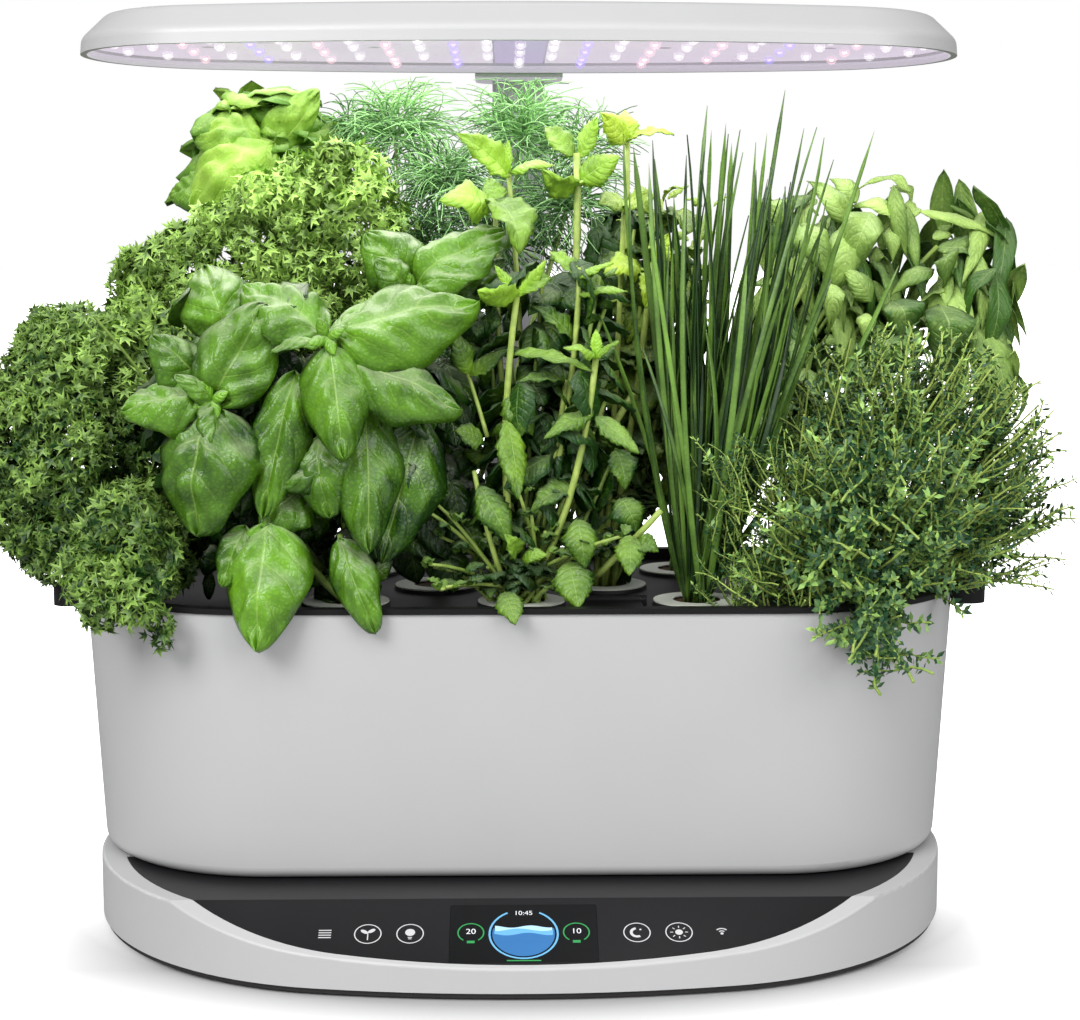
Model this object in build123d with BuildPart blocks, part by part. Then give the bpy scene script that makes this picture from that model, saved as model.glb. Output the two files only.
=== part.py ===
from build123d import *
from math import atan2, cos, degrees, pi, radians, sin, sqrt, tan
from typing import NamedTuple
import os

# Countertop hydroponic garden: a water bowl with nine planted pods stands on a base with a
# sloped control panel, and a telescoping mast behind it carries the grow lamp.
#
# Millimetres, +Z up. The origin is on the counter under the middle of the footprint, +X is to
# the user's right and the control panel faces -Y. Plans are drawn about the bowl's middle,
# which lies bowl_y behind the origin.


class Plan(NamedTuple):
    """Outline with straight sides and bowed front and back ends, all arcs tangent."""

    half_width: float
    front: float
    front_corner: float
    front_bow: float
    back: float
    back_corner: float
    back_bow: float


# ---- base -----------------------------------------------------------------------------------
bowl_y = 15.0
rim_length = 430.0
rim_depth = 191.0
base_end_inset = 7.0
base_margin = 3.0
slope_ledge = 21.1
slope_run = 40.9
base_front_shoulder = 17.5
base_back_shoulder = 7.5
base_top = 33.0
base_wall = 2.6
base_skin = 5.2
base_edge = 1.3
foot_radius = 10.0
foot_stand = 1.0
foot_recess = 0.8
cover_thickness = 2.4
cover_inset = 1.2
boss_radius = 4.0
screw_radius = 1.5
screw_head_radius = 3.0
screw_head_height = 1.6
screw_grip = 12.0
screw_clearance = 0.1
boss_side = 36.0
boss_ahead = 30.0
boss_back_side = 68.0
boss_back_inset = 55.5
boss_front_x = 62.0
boss_front_inset = 73.5
foot_front_side = 58.0
foot_front_inset = 79.5
foot_back_side = 50.0
foot_back_inset = 65.5
foot_middle_front = 29.5
foot_middle_back = 53.5

# ---- control panel --------------------------------------------------------------------------
slope_angle = 24.5
panel_end_inset = 12.0
panel_front_inset = 2.5
panel_corner_inset = 4.0
panel_back = 50.0
panel_thickness = 2.2
panel_gap = 0.15
panel_ledge = 7.0
window_back = 98.0
screen_width = 65.5
screen_height = 36.0
screen_down = 22.5
screen_gap = 0.1
screen_corner = 1.0
board_width = 176.0
board_height = 28.0
board_down = 17.0
board_post = 3.5
board_post_x = (-80.0, -45.0, 45.0, 80.0)
board_thickness = 1.6
board_post_radius = 2.4
chip_size = 7.0

# ---- power inlet ----------------------------------------------------------------------------
inlet_x = 44.0
inlet_width = 18.0
inlet_height = 14.0
inlet_depth = 15.0
inlet_corner = 2.0
inlet_bore_radius = 2.75
inlet_bore_depth = 9.0
inlet_back_inset = 5.5

# ---- telescoping mast -----------------------------------------------------------------------
mast_clear = 0.3
pole_width = 28.0
pole_depth = 10.0
pole_wall = 1.6
stage_wall = 2.4
stage_wall_outer = 2.0
stage_gap = 0.3
pole_gap = 0.3
mast_hole_gap = 2.0
stage_travel = 177.0
stage_overlap = 55.0
stage_lift = 2.0
pole_corner = 3.0
collar_height = 12.0
collar_wall = 2.2
collar_lip = 2.0
collar_stand = 0.3
housing_width = 56.0
housing_depth = 31.0
housing_height = 30.0
housing_draft = 4.0
housing_corner = 9.0
housing_gap = 0.15

# ---- lamp -----------------------------------------------------------------------------------
lamp_plan = Plan(210.0, 85.0, 69.0, 700.0, 85.0, 69.0, 700.0)
lamp_to_mast = 26.0
grow_height = 260.0
lamp_height = 18.5
lamp_band = 7.0
lamp_wall = 3.0
lamp_draft = 5.0
shoulder_slope = 46.0
shoulder_round = 6.0
lens_recess = 2.0
lens_thickness = 1.5
lens_gap = 0.2
led_gap = 0.2
led_size = 3.4
led_height = 1.1
led_board_thickness = 1.6
spreader_thickness = 2.0
spreader_inset = 9.0
spine_width = 26.0
board_seam = 1.0
led_pitch = 31.6
led_margin = 9.0
led_even_rows = (-70.0, -28.0, 7.0, 46.0, 70.0)
led_odd_rows = (-50.0, -17.0, 27.0)
lens_slot_length = 14.0
lens_slot_width = 1.8
lens_slot_x = 114.0
lens_slot_y = 44.0
arm_drop = 2.0
arm_height = 20.0
arm_width = 46.0
arm_end_corner = 15.0
arm_gap = 0.3
arm_behind = 12.0
tongue_height = 6.0
tongue_length = 50.3
tongue_screw_inset = 12.0
socket_depth = 16.0
socket_gap = 0.1
lamp_boss_radius = 5.0
lamp_boss_places = ((-150.0, 0.0), (-70.0, 0.0), (70.0, 0.0), (150.0, 0.0))
lamp_screw_radius = 1.5
lamp_screw_head_radius = 3.0

# ---- water bowl -----------------------------------------------------------------------------
bowl_gap = 0.3
bowl_height = 126.3
bowl_draft = 3.0
bowl_wall = 2.6
bowl_floor = 2.8
bowl_foot_radius = 6.0
bowl_inner_radius = 4.0

# ---- grow deck ------------------------------------------------------------------------------
deck_gap = 0.4
lip_overhang = 1.0
lip_thickness = 2.6
skirt_wall = 2.2
deck_sink = 3.6
deck_plate = 2.5
collar_depth = 6.0
collar_ring = 2.0
grip_stretch = 12.5
grip_root_inset = 7.0
grip_length = 70.0
grip_drop = 6.5
grip_rise = 1.0
grip_corner = 8.0
pod_step = 84.0
row_inset = 47.5
pod_row = rim_depth / 2 - row_inset
pods = (
    ("front_left", -pod_step, -pod_row),
    ("front_middle", 0.0, -pod_row),
    ("front_right", pod_step, -pod_row),
    ("middle_outer_left", -1.5 * pod_step, 0.0),
    ("middle_left", -0.5 * pod_step, 0.0),
    ("middle_right", 0.5 * pod_step, 0.0),
    ("middle_outer_right", 1.5 * pod_step, 0.0),
    ("back_left", -pod_step, pod_row),
    ("back_right", pod_step, pod_row),
)

# ---- pods -----------------------------------------------------------------------------------
basket_top_radius = 18.0
basket_foot_radius = 12.0
basket_length = 52.0
basket_wall = 1.4
basket_gap = 0.5
flange_radius = 21.2
flange_thickness = 1.6
slot_count = 6
slot_width = 4.0
slot_rise = 9.0
slot_length = 28.0
sponge_gap = 0.3
sponge_sides = 16
label_radius = 20.8
label_hole = 11.5
label_thickness = 0.6

# ---- filling port ---------------------------------------------------------------------------
port_x = 42.0
port_inset = 29.5
port_width = 24.0
port_depth = 20.0
port_wall = 1.8
lid_side = 30.0
lid_thickness = 2.2
lid_gap = 0.3
hinge_radius = 2.2
pin_radius = 1.0
pin_gap = 0.1
lug_width = 2.4
tab_width = 12.0
tab_reach = 4.0

# ---- level float ----------------------------------------------------------------------------
float_x = 42.0
float_inset = 43.5
float_radius = 12.0
float_height = 12.0
float_travel = 70.0
post_radius = 3.0
post_gap = 0.5
float_headroom = 1.0
stop_radius = 6.0
stop_height = 2.0

# ---- pump -----------------------------------------------------------------------------------
pump_inset = 39.5
pump_width = 46.0
pump_depth = 34.0
pump_height = 46.0
pump_corner = 7.0
filter_height = 12.0
filter_wall = 2.0
filter_slots = 7
filter_slot = 2.4
chamber_radius = 13.0
chamber_height = 12.0
pump_cover_thickness = 2.0
inlet_eye_radius = 5.0
impeller_gap = 0.6
impeller_blades = 6
impeller_hub = 3.6
shaft_radius = 1.2
shaft_gap = 0.1
blade_thickness = 1.2
riser_radius = 5.5
riser_wall = 1.5
fin_count = 5
fin_depth = 1.2

# ---- worked out from the sizes above --------------------------------------------------------
cover_low = foot_stand
shell_low = cover_low + cover_thickness
bowl_low = base_top + bowl_gap
floor_top = bowl_low + bowl_floor
rim_top = bowl_low + bowl_height
deck_top = rim_top - deck_sink
lamp_low = deck_top + grow_height
arm_low = lamp_low - arm_drop
grip_reach = rim_length / 2 + grip_stretch
grip_root = rim_length / 2 - grip_root_inset
port_y = port_inset - rim_depth / 2
float_y = rim_depth / 2 - float_inset
pump_y = rim_depth / 2 - pump_inset
lens_low = lamp_low + lens_recess
lamp_lean = tan(radians(lamp_draft))
lens_top = lens_low + lens_thickness
led_low = lens_top + led_gap
led_top = led_low + led_height
led_board_top = led_top + led_board_thickness
spreader_top = led_board_top + spreader_thickness
lamp_top = lamp_low + lamp_height
crown_low = lamp_top - lamp_wall
lip_top = rim_top + lip_thickness
flange_top = deck_top + flange_thickness
sponge_top = flange_top - label_thickness
hinge_y = port_y + lid_side / 2
hinge_z = deck_top + lid_gap + hinge_radius
deck_low = deck_top - deck_plate
pump_low = floor_top + filter_height
chamber_low = pump_low + pump_cover_thickness
middle_width = pole_width + 2 * (pole_gap + stage_wall)
middle_depth = pole_depth + 2 * (pole_gap + stage_wall)
outer_width = middle_width + 2 * (stage_gap + stage_wall_outer)
outer_depth = middle_depth + 2 * (stage_gap + stage_wall_outer)
mast_y = rim_depth / 2 + lip_overhang + mast_clear + collar_wall + outer_depth / 2
lamp_y = mast_y - pole_depth / 2 - lamp_to_mast - lamp_plan.back
arm_back = mast_y + pole_depth / 2 + arm_behind
outer_top = shell_low + stage_lift + stage_travel + stage_overlap
middle_top = outer_top + collar_stand + collar_height
arm_front = lamp_y + lamp_plan.back + arm_gap
tongue_front = arm_front - tongue_length
tongue_screw_y = tongue_front + tongue_screw_inset
base_side = rim_length / 2 - base_end_inset
base_back = mast_y + housing_depth / 2 + base_margin
slope_start = rim_depth / 2 + slope_ledge
base_front = slope_start + slope_run
front_corner = base_front - base_front_shoulder
back_corner = base_back - base_back_shoulder
base_plan = Plan(base_side, base_front, front_corner, 520.0, base_back, back_corner, 700.0)
panel_plan = Plan(base_side - panel_end_inset, base_front - panel_front_inset,
                  front_corner - panel_corner_inset, 500.0, base_back, back_corner, 700.0)
boss_places = [
    (side * x, y)
    for side in (-1, 1)
    for x, y in (
        (base_side - boss_side, -boss_ahead),
        (base_side - boss_back_side, base_back - boss_back_inset),
        (boss_front_x, boss_front_inset - base_front),
    )
]
foot_places = [
    (side * x, y)
    for side in (-1, 1)
    for x, y in (
        (base_side - foot_front_side, foot_front_inset - base_front),
        (base_side - foot_back_side, base_back - foot_back_inset),
    )
]
foot_places += [(0, foot_middle_front - base_front), (0, base_back - foot_middle_back)]
tongue_low = spreader_top + screw_clearance
skirt_inset = bowl_wall + deck_gap + (rim_top - deck_low) * tan(radians(bowl_draft))
skirt_length = rim_length - 2 * skirt_inset
skirt_depth = rim_depth - 2 * skirt_inset
pod_hole = basket_top_radius + basket_gap
float_low = deck_low - float_headroom - float_height
float_stop = float_low - float_travel - float_headroom - stop_height
inlet_face = base_back - inlet_back_inset
blade_length = chamber_radius - impeller_gap - impeller_hub + 1
blade_middle = impeller_hub - 1 + blade_length / 2
fin_pitch = (pump_depth - 2 * pump_corner) / (fin_count - 1)


def level(height, y=0.0):
    """Horizontal plane at a height, with its origin behind the bowl's middle by y."""
    return Plane(origin=(0, bowl_y + y, height))


def side_plane(x=0.0):
    """Upright plane that looks along X: its own x is Y from the bowl's middle, its y is Z."""
    return Plane(origin=(x, bowl_y, 0), x_dir=(0, 1, 0), z_dir=(1, 0, 0))


def front_plane(x, y):
    """Upright plane through a point of the plan: its own x is X and its y is Z."""
    return Plane(origin=(x, bowl_y + y, 0), x_dir=(1, 0, 0), z_dir=(0, -1, 0))


def plan_face(plan, inset=0.0):
    """Face inside a plan outline; an inset draws it inwards with every arc concentric."""
    half_width = plan.half_width - inset
    ends = (
        (1, plan.back - inset, plan.back_corner - inset, plan.back_bow - inset),
        (-1, plan.front - inset, plan.front_corner - inset, plan.front_bow - inset),
    )
    side_ends = []
    with BuildSketch() as face:
        with BuildLine():
            for sign, reach, corner, bow in ends:
                arm = half_width - corner
                rise = sqrt((bow - corner) ** 2 - arm**2)
                turn = degrees(atan2(rise, arm))
                corner_y = sign * (reach - bow + rise)
                CenterArc((0, sign * (reach - bow)), bow, sign * turn, sign * (180 - 2 * turn))
                CenterArc((arm, corner_y), corner, 0, sign * turn)
                CenterArc((-arm, corner_y), corner, 180, -sign * turn)
                side_ends.append(corner_y)
            for side in (half_width, -half_width):
                Line((side, side_ends[0]), (side, side_ends[1]))
        make_face()
    return face.sketch


def base_body(low, inset, drop):
    """Block of the base: its plan and its flat top with a sloped front, drawn in by inset and drop."""
    top = base_top - drop
    break_y = -slope_start + drop * tan(radians(slope_angle / 2))
    run = base_plan.front
    with BuildPart() as body:
        with BuildSketch(level(low)):
            add(plan_face(base_plan, inset))
        extrude(amount=top - low)
        with BuildSketch(side_plane()):
            with BuildLine():
                Polyline(
                    (break_y, top),
                    (break_y - run, top - run * tan(radians(slope_angle))),
                    (break_y - run, top + 1),
                    (break_y, top + 1),
                    close=True,
                )
            make_face()
        extrude(amount=base_plan.half_width, both=True, mode=Mode.SUBTRACT)
    return body.part


def panel_body(inset, back, top_drop, low_drop):
    """Bent plate of the control panel up to its back edge, between two depths under the face."""
    with BuildPart() as plate:
        add(base_body(shell_low, 0, top_drop))
        add(base_body(shell_low - 1, 0, low_drop), mode=Mode.SUBTRACT)
        with BuildSketch(level(shell_low - 1)):
            add(plan_face(panel_plan, inset))
            with Locations((0, base_plan.back - back)):
                Rectangle(2 * base_plan.half_width, 2 * base_plan.back, mode=Mode.SUBTRACT)
        extrude(amount=base_top, mode=Mode.INTERSECT)
    return plate.part


def slope_plane(down, depth=0.0):
    """Plane on the sloped panel, down from its top edge; its x is X and its y runs up the slope."""
    angle = radians(slope_angle)
    return Plane(
        origin=(
            0,
            bowl_y - slope_start - down * cos(angle) + depth * sin(angle),
            base_top - down * sin(angle) - depth * cos(angle),
        ),
        x_dir=(1, 0, 0),
        z_dir=(0, -sin(angle), cos(angle)),
    )


# ---- base shell: white moulding with a pocket for the panel and bosses for the cover ---------
with BuildPart() as base_shell:
    add(base_body(shell_low, 0, 0))
    top_edges = base_shell.edges().filter_by(lambda edge: edge.center().Z > shell_low + 5)
    fillet(top_edges.filter_by(lambda edge: edge.bounding_box().size.Y > 0.1), base_edge)
    add(base_body(shell_low - 1, base_wall, base_skin), mode=Mode.SUBTRACT)
    add(panel_body(0, panel_back, -1, panel_thickness), mode=Mode.SUBTRACT)
    add(panel_body(panel_ledge, window_back, 0, base_skin + 1), mode=Mode.SUBTRACT)
    with BuildSketch(level(shell_low)):
        with Locations(*boss_places):
            Circle(boss_radius)
            Circle(screw_radius + screw_clearance, mode=Mode.SUBTRACT)
    extrude(amount=base_top - base_skin - shell_low)
    with BuildSketch(level(shell_low, mast_y)):
        RectangleRounded(outer_width + 2 * mast_hole_gap, outer_depth + 2 * mast_hole_gap, pole_corner)
    extrude(amount=base_top, mode=Mode.SUBTRACT)
base_shell.part.label = "base_shell"

# ---- bottom cover: dark plate with recesses for the feet and for the screw heads -------------
with BuildPart() as base_bottom_cover:
    with BuildSketch(level(cover_low)):
        add(plan_face(base_plan, cover_inset))
    extrude(amount=cover_thickness)
    with BuildSketch(level(cover_low)):
        with Locations(*foot_places):
            Circle(foot_radius + screw_clearance)
    extrude(amount=foot_recess, mode=Mode.SUBTRACT)
    with BuildSketch(level(cover_low)):
        with Locations(*boss_places):
            Circle(screw_head_radius + screw_clearance)
    extrude(amount=screw_head_height, mode=Mode.SUBTRACT)
    with BuildSketch(level(cover_low)):
        with Locations(*boss_places):
            Circle(screw_radius + screw_clearance)
    extrude(amount=cover_thickness, mode=Mode.SUBTRACT)
base_bottom_cover.part.label = "base_bottom_cover"

with BuildPart() as rubber_feet:
    with BuildSketch(level(0)):
        with Locations(*foot_places):
            Circle(foot_radius)
    extrude(amount=foot_stand + foot_recess)
rubber_feet.part.label = "rubber_feet"

with BuildPart() as bottom_screws:
    with BuildSketch(level(cover_low)):
        with Locations(*boss_places):
            Circle(screw_head_radius)
    extrude(amount=screw_head_height)
    with BuildSketch(level(cover_low + screw_head_height)):
        with Locations(*boss_places):
            Circle(screw_radius)
    extrude(amount=screw_grip)
bottom_screws.part.label = "bottom_screws"

# ---- control panel: bent gloss plate with a window for the screen and posts for the board ----
with BuildPart() as control_panel:
    add(panel_body(panel_gap, panel_back + panel_gap, 0, panel_thickness))
    with BuildSketch(slope_plane(screen_down)):
        RectangleRounded(screen_width + 2 * screen_gap, screen_height + 2 * screen_gap, screen_corner)
    extrude(amount=panel_thickness * 2, both=True, mode=Mode.SUBTRACT)
    with BuildSketch(slope_plane(board_down, panel_thickness)):
        with Locations(*[(x, 0) for x in board_post_x]):
            Circle(board_post_radius)
    extrude(amount=-board_post)
control_panel.part.label = "control_panel"

with BuildPart() as display_screen:
    with BuildSketch(slope_plane(screen_down, panel_thickness)):
        RectangleRounded(screen_width, screen_height, screen_corner)
    extrude(amount=panel_thickness)
display_screen.part.label = "display_screen"

with BuildPart() as control_board:
    with BuildSketch(slope_plane(board_down, panel_thickness + board_post)):
        Rectangle(board_width, board_height)
    extrude(amount=-board_thickness)
    with BuildSketch(slope_plane(board_down, panel_thickness + board_post + board_thickness)):
        with GridLocations(board_width / 4, 0, 3, 1):
            Rectangle(chip_size, chip_size)
    extrude(amount=-board_thickness)
control_board.part.label = "control_board"

# ---- power inlet: round low-voltage socket in a block beside the mast, open to the back ------
with BuildPart() as power_inlet:
    with BuildSketch(level(base_top, inlet_face - inlet_depth / 2)):
        with Locations((inlet_x, 0)):
            Rectangle(inlet_width, inlet_depth)
    extrude(amount=inlet_height)
    fillet(power_inlet.edges().filter_by(Axis.Z), inlet_corner)
    fillet(power_inlet.edges().group_by(Axis.Z)[-1], inlet_corner / 2)
    with BuildSketch(front_plane(inlet_x, inlet_face)):
        with Locations((0, base_top + inlet_height / 2)):
            Circle(inlet_bore_radius)
    extrude(amount=inlet_bore_depth, mode=Mode.SUBTRACT)
power_inlet.part.label = "power_inlet"


# ---- telescoping mast: a fixed outer tube and two sliding stages -----------------------------
def tube(low, high, width, depth, wall):
    """Upright tube of the mast with rounded corners, open at both ends."""
    with BuildPart() as body:
        with BuildSketch(level(low, mast_y)):
            RectangleRounded(width, depth, pole_corner)
            RectangleRounded(width - 2 * wall, depth - 2 * wall, pole_corner - 1, mode=Mode.SUBTRACT)
        extrude(amount=high - low)
    return body.part


def collar(low, tube_top, width, depth, stage_width, stage_depth):
    """Ring on the top of a tube, with a lip that guides the next stage."""
    with BuildPart() as ring:
        with BuildSketch(level(low, mast_y)):
            RectangleRounded(width + 2 * collar_wall, depth + 2 * collar_wall, pole_corner + collar_wall)
        extrude(amount=collar_height)
        fillet(ring.edges().group_by(Axis.Z)[-1], 1)
        with BuildSketch(level(low, mast_y)):
            RectangleRounded(width, depth, pole_corner)
        extrude(amount=tube_top - low, mode=Mode.SUBTRACT)
        with BuildSketch(level(low, mast_y)):
            RectangleRounded(stage_width + 2 * stage_gap, stage_depth + 2 * stage_gap, pole_corner)
        extrude(amount=collar_height, mode=Mode.SUBTRACT)
    return ring.part


with BuildPart() as mast_housing:
    with BuildSketch(level(base_top, mast_y)):
        RectangleRounded(housing_width, housing_depth, housing_corner)
    extrude(amount=housing_height, taper=housing_draft)
    fillet(mast_housing.edges().group_by(Axis.Z)[-1], 2.5)
    with BuildSketch(level(base_top, mast_y)):
        RectangleRounded(outer_width + 2 * housing_gap, outer_depth + 2 * housing_gap, pole_corner)
    extrude(amount=housing_height, mode=Mode.SUBTRACT)
mast_housing.part.label = "mast_housing"

with BuildPart() as mast_outer:
    add(tube(shell_low, outer_top, outer_width, outer_depth, stage_wall_outer))
mast_outer.part.label = "mast_outer"

with BuildPart() as mast_outer_collar:
    add(collar(outer_top + collar_lip - collar_height, outer_top, outer_width, outer_depth,
               middle_width, middle_depth))
mast_outer_collar.part.label = "mast_outer_collar"

with BuildPart() as mast_middle:
    add(tube(shell_low + stage_lift, middle_top, middle_width, middle_depth, stage_wall))
mast_middle.part.label = "mast_middle"

with BuildPart() as mast_middle_collar:
    add(collar(middle_top + collar_lip - collar_height, middle_top, middle_width, middle_depth,
               pole_width, pole_depth))
mast_middle_collar.part.label = "mast_middle_collar"

with BuildPart() as mast_inner:
    add(tube(shell_low + 2 * stage_lift, arm_low + socket_depth, pole_width, pole_depth, pole_wall))
mast_inner.part.label = "mast_inner"


# ---- lamp: arm, hood, heat spreader, boards, clear cover -------------------------------------
def hood_body(height, inset, rounding=0.0):
    """Block with the hood's plan: a near upright band, then a shoulder that slopes in to the crown."""
    with BuildPart() as body:
        with BuildSketch(level(lamp_low, lamp_y)):
            add(plan_face(lamp_plan, inset))
        extrude(amount=lamp_band, taper=lamp_draft)
        with BuildSketch(level(lamp_low + lamp_band, lamp_y)):
            add(plan_face(lamp_plan, inset + lamp_band * lamp_lean))
        extrude(amount=height - lamp_band, taper=shoulder_slope)
        if rounding:
            rims = body.edges().group_by(Axis.Z)
            fillet(rims[-1] + body.edges().filter_by(
                lambda edge: abs(edge.bounding_box().min.Z - lamp_low - lamp_band) < 0.01
                and abs(edge.bounding_box().max.Z - lamp_low - lamp_band) < 0.01), rounding)
    return body.part


with BuildPart() as lamp_hood:
    add(hood_body(lamp_height, 0, shoulder_round))
    add(hood_body(lamp_height - lamp_wall, lamp_wall), mode=Mode.SUBTRACT)
    with BuildSketch(level(spreader_top, lamp_y)):
        with Locations(*lamp_boss_places):
            Circle(lamp_boss_radius)
            Circle(lamp_screw_radius + screw_clearance, mode=Mode.SUBTRACT)
    extrude(amount=crown_low - spreader_top)
    with BuildSketch(level(tongue_low - arm_gap, lamp_y + lamp_plan.back)):
        Rectangle(arm_width + 2 * arm_gap, 2 * (lamp_height - lamp_band + 2 * lamp_wall))
    extrude(amount=tongue_height + 2 * arm_gap, mode=Mode.SUBTRACT)
lamp_hood.part.label = "lamp_hood"

with BuildPart() as lamp_arm:
    with BuildSketch(level(arm_low, arm_front)):
        with Locations((0, (arm_back - arm_front) / 2)):
            RectangleRounded(arm_width, arm_back - arm_front, arm_end_corner)
        with Locations((0, arm_end_corner / 2)):
            Rectangle(arm_width, arm_end_corner)
    extrude(amount=arm_height)
    fillet(lamp_arm.edges().group_by(Axis.Z)[-1].filter_by(
        lambda edge: edge.center().Y > bowl_y + arm_front + 1), 4)
    with BuildSketch(level(tongue_low, tongue_front)):
        with Locations((0, (arm_front - tongue_front) / 2 + 1)):
            Rectangle(arm_width, arm_front - tongue_front + 2)
        with Locations(*[(x, tongue_screw_y - tongue_front) for x in (-spine_width / 2, spine_width / 2)]):
            Circle(lamp_screw_radius + screw_clearance, mode=Mode.SUBTRACT)
    extrude(amount=tongue_height)
    with BuildSketch(level(arm_low, mast_y)):
        RectangleRounded(pole_width + 2 * socket_gap, pole_depth + 2 * socket_gap, pole_corner)
    extrude(amount=socket_depth, mode=Mode.SUBTRACT)
lamp_arm.part.label = "lamp_arm"

with BuildPart() as heat_spreader:
    with BuildSketch(level(led_board_top, lamp_y)):
        add(plan_face(lamp_plan, spreader_inset))
        with Locations(*lamp_boss_places):
            Circle(lamp_screw_radius + screw_clearance, mode=Mode.SUBTRACT)
    extrude(amount=spreader_thickness)
heat_spreader.part.label = "heat_spreader"

with BuildPart() as led_board:
    with BuildSketch(level(led_top, lamp_y)):
        add(plan_face(lamp_plan, lamp_wall + lens_gap + (led_board_top - lamp_low) * lamp_lean))
        with Locations(*lamp_boss_places):
            Circle(lamp_screw_head_radius + screw_clearance, mode=Mode.SUBTRACT)
    extrude(amount=led_board_thickness)
    with BuildSketch(level(led_top, lamp_y)):
        with GridLocations(spine_width, 0, 2, 1):
            Rectangle(board_seam, 2 * lamp_plan.back)
    extrude(amount=led_board_thickness, mode=Mode.SUBTRACT)
led_board.part.label = "led_board"


def lamp_reach(x, margin):
    """Half depth of the lamp's outline at x, less a margin: on its bow or on its corner arc."""
    bow = lamp_plan.front_bow - margin
    corner = lamp_plan.front_corner - margin
    on_bow = lamp_plan.front - margin - bow + sqrt(bow**2 - x**2)
    over = abs(x) - (lamp_plan.half_width - lamp_plan.front_corner)
    if over < 0:
        return on_bow
    return min(on_bow, sqrt(max(0.0, corner**2 - over**2)))


def led_spots():
    """Places of the LEDs from the lamp's middle: two interleaved patterns of columns."""
    columns = int(2 * lamp_plan.half_width / led_pitch)
    spots = []
    for column in range(-columns, columns + 1):
        x = column * led_pitch / 2
        rows = led_odd_rows if column % 2 else led_even_rows
        spots += [(x, y) for y in rows if abs(y) < lamp_reach(x, led_margin)]
    return spots


with BuildPart() as leds:
    with BuildSketch(level(led_low, lamp_y)):
        with Locations(*led_spots()):
            Rectangle(led_size, led_size)
    extrude(amount=led_height)
leds.part.label = "leds"

with BuildPart() as lamp_lens:
    with BuildSketch(level(lens_low, lamp_y)):
        add(plan_face(lamp_plan, lamp_wall + lens_gap + (lens_top - lamp_low) * lamp_lean))
        with GridLocations(2 * lens_slot_x, 2 * lens_slot_y, 2, 2):
            SlotOverall(lens_slot_length, lens_slot_width, mode=Mode.SUBTRACT)
    extrude(amount=lens_thickness)
lamp_lens.part.label = "lamp_lens"

with BuildPart() as lamp_screws:
    with BuildSketch(level(led_top, lamp_y)):
        with Locations(*lamp_boss_places):
            Circle(lamp_screw_head_radius)
    extrude(amount=led_board_thickness)
    with BuildSketch(level(led_board_top, lamp_y)):
        with Locations(*lamp_boss_places):
            Circle(lamp_screw_radius)
    extrude(amount=spreader_thickness + screw_grip / 2)
lamp_screws.part.label = "lamp_screws"


# ---- water bowl: leaning walls on a long rounded plan ----------------------------------------
def bowl_block(low, high, inset, foot_edge):
    """Block of the bowl's leaning outline between two heights, with a rounded lower edge."""
    lean = 2 * tan(radians(bowl_draft))
    length = rim_length - 2 * inset - (rim_top - low) * lean
    depth = rim_depth - 2 * inset - (rim_top - low) * lean
    with BuildPart() as block:
        with BuildSketch(level(low)):
            SlotOverall(length, depth)
        extrude(amount=high - low, taper=-bowl_draft)
        if foot_edge > 0:
            fillet(block.edges().group_by(Axis.Z)[0], foot_edge)
    return block.part


with BuildPart() as water_bowl:
    add(bowl_block(bowl_low, rim_top, 0, bowl_foot_radius))
    add(bowl_block(floor_top, rim_top + 1, bowl_wall, bowl_inner_radius), mode=Mode.SUBTRACT)
water_bowl.part.label = "water_bowl"

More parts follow.
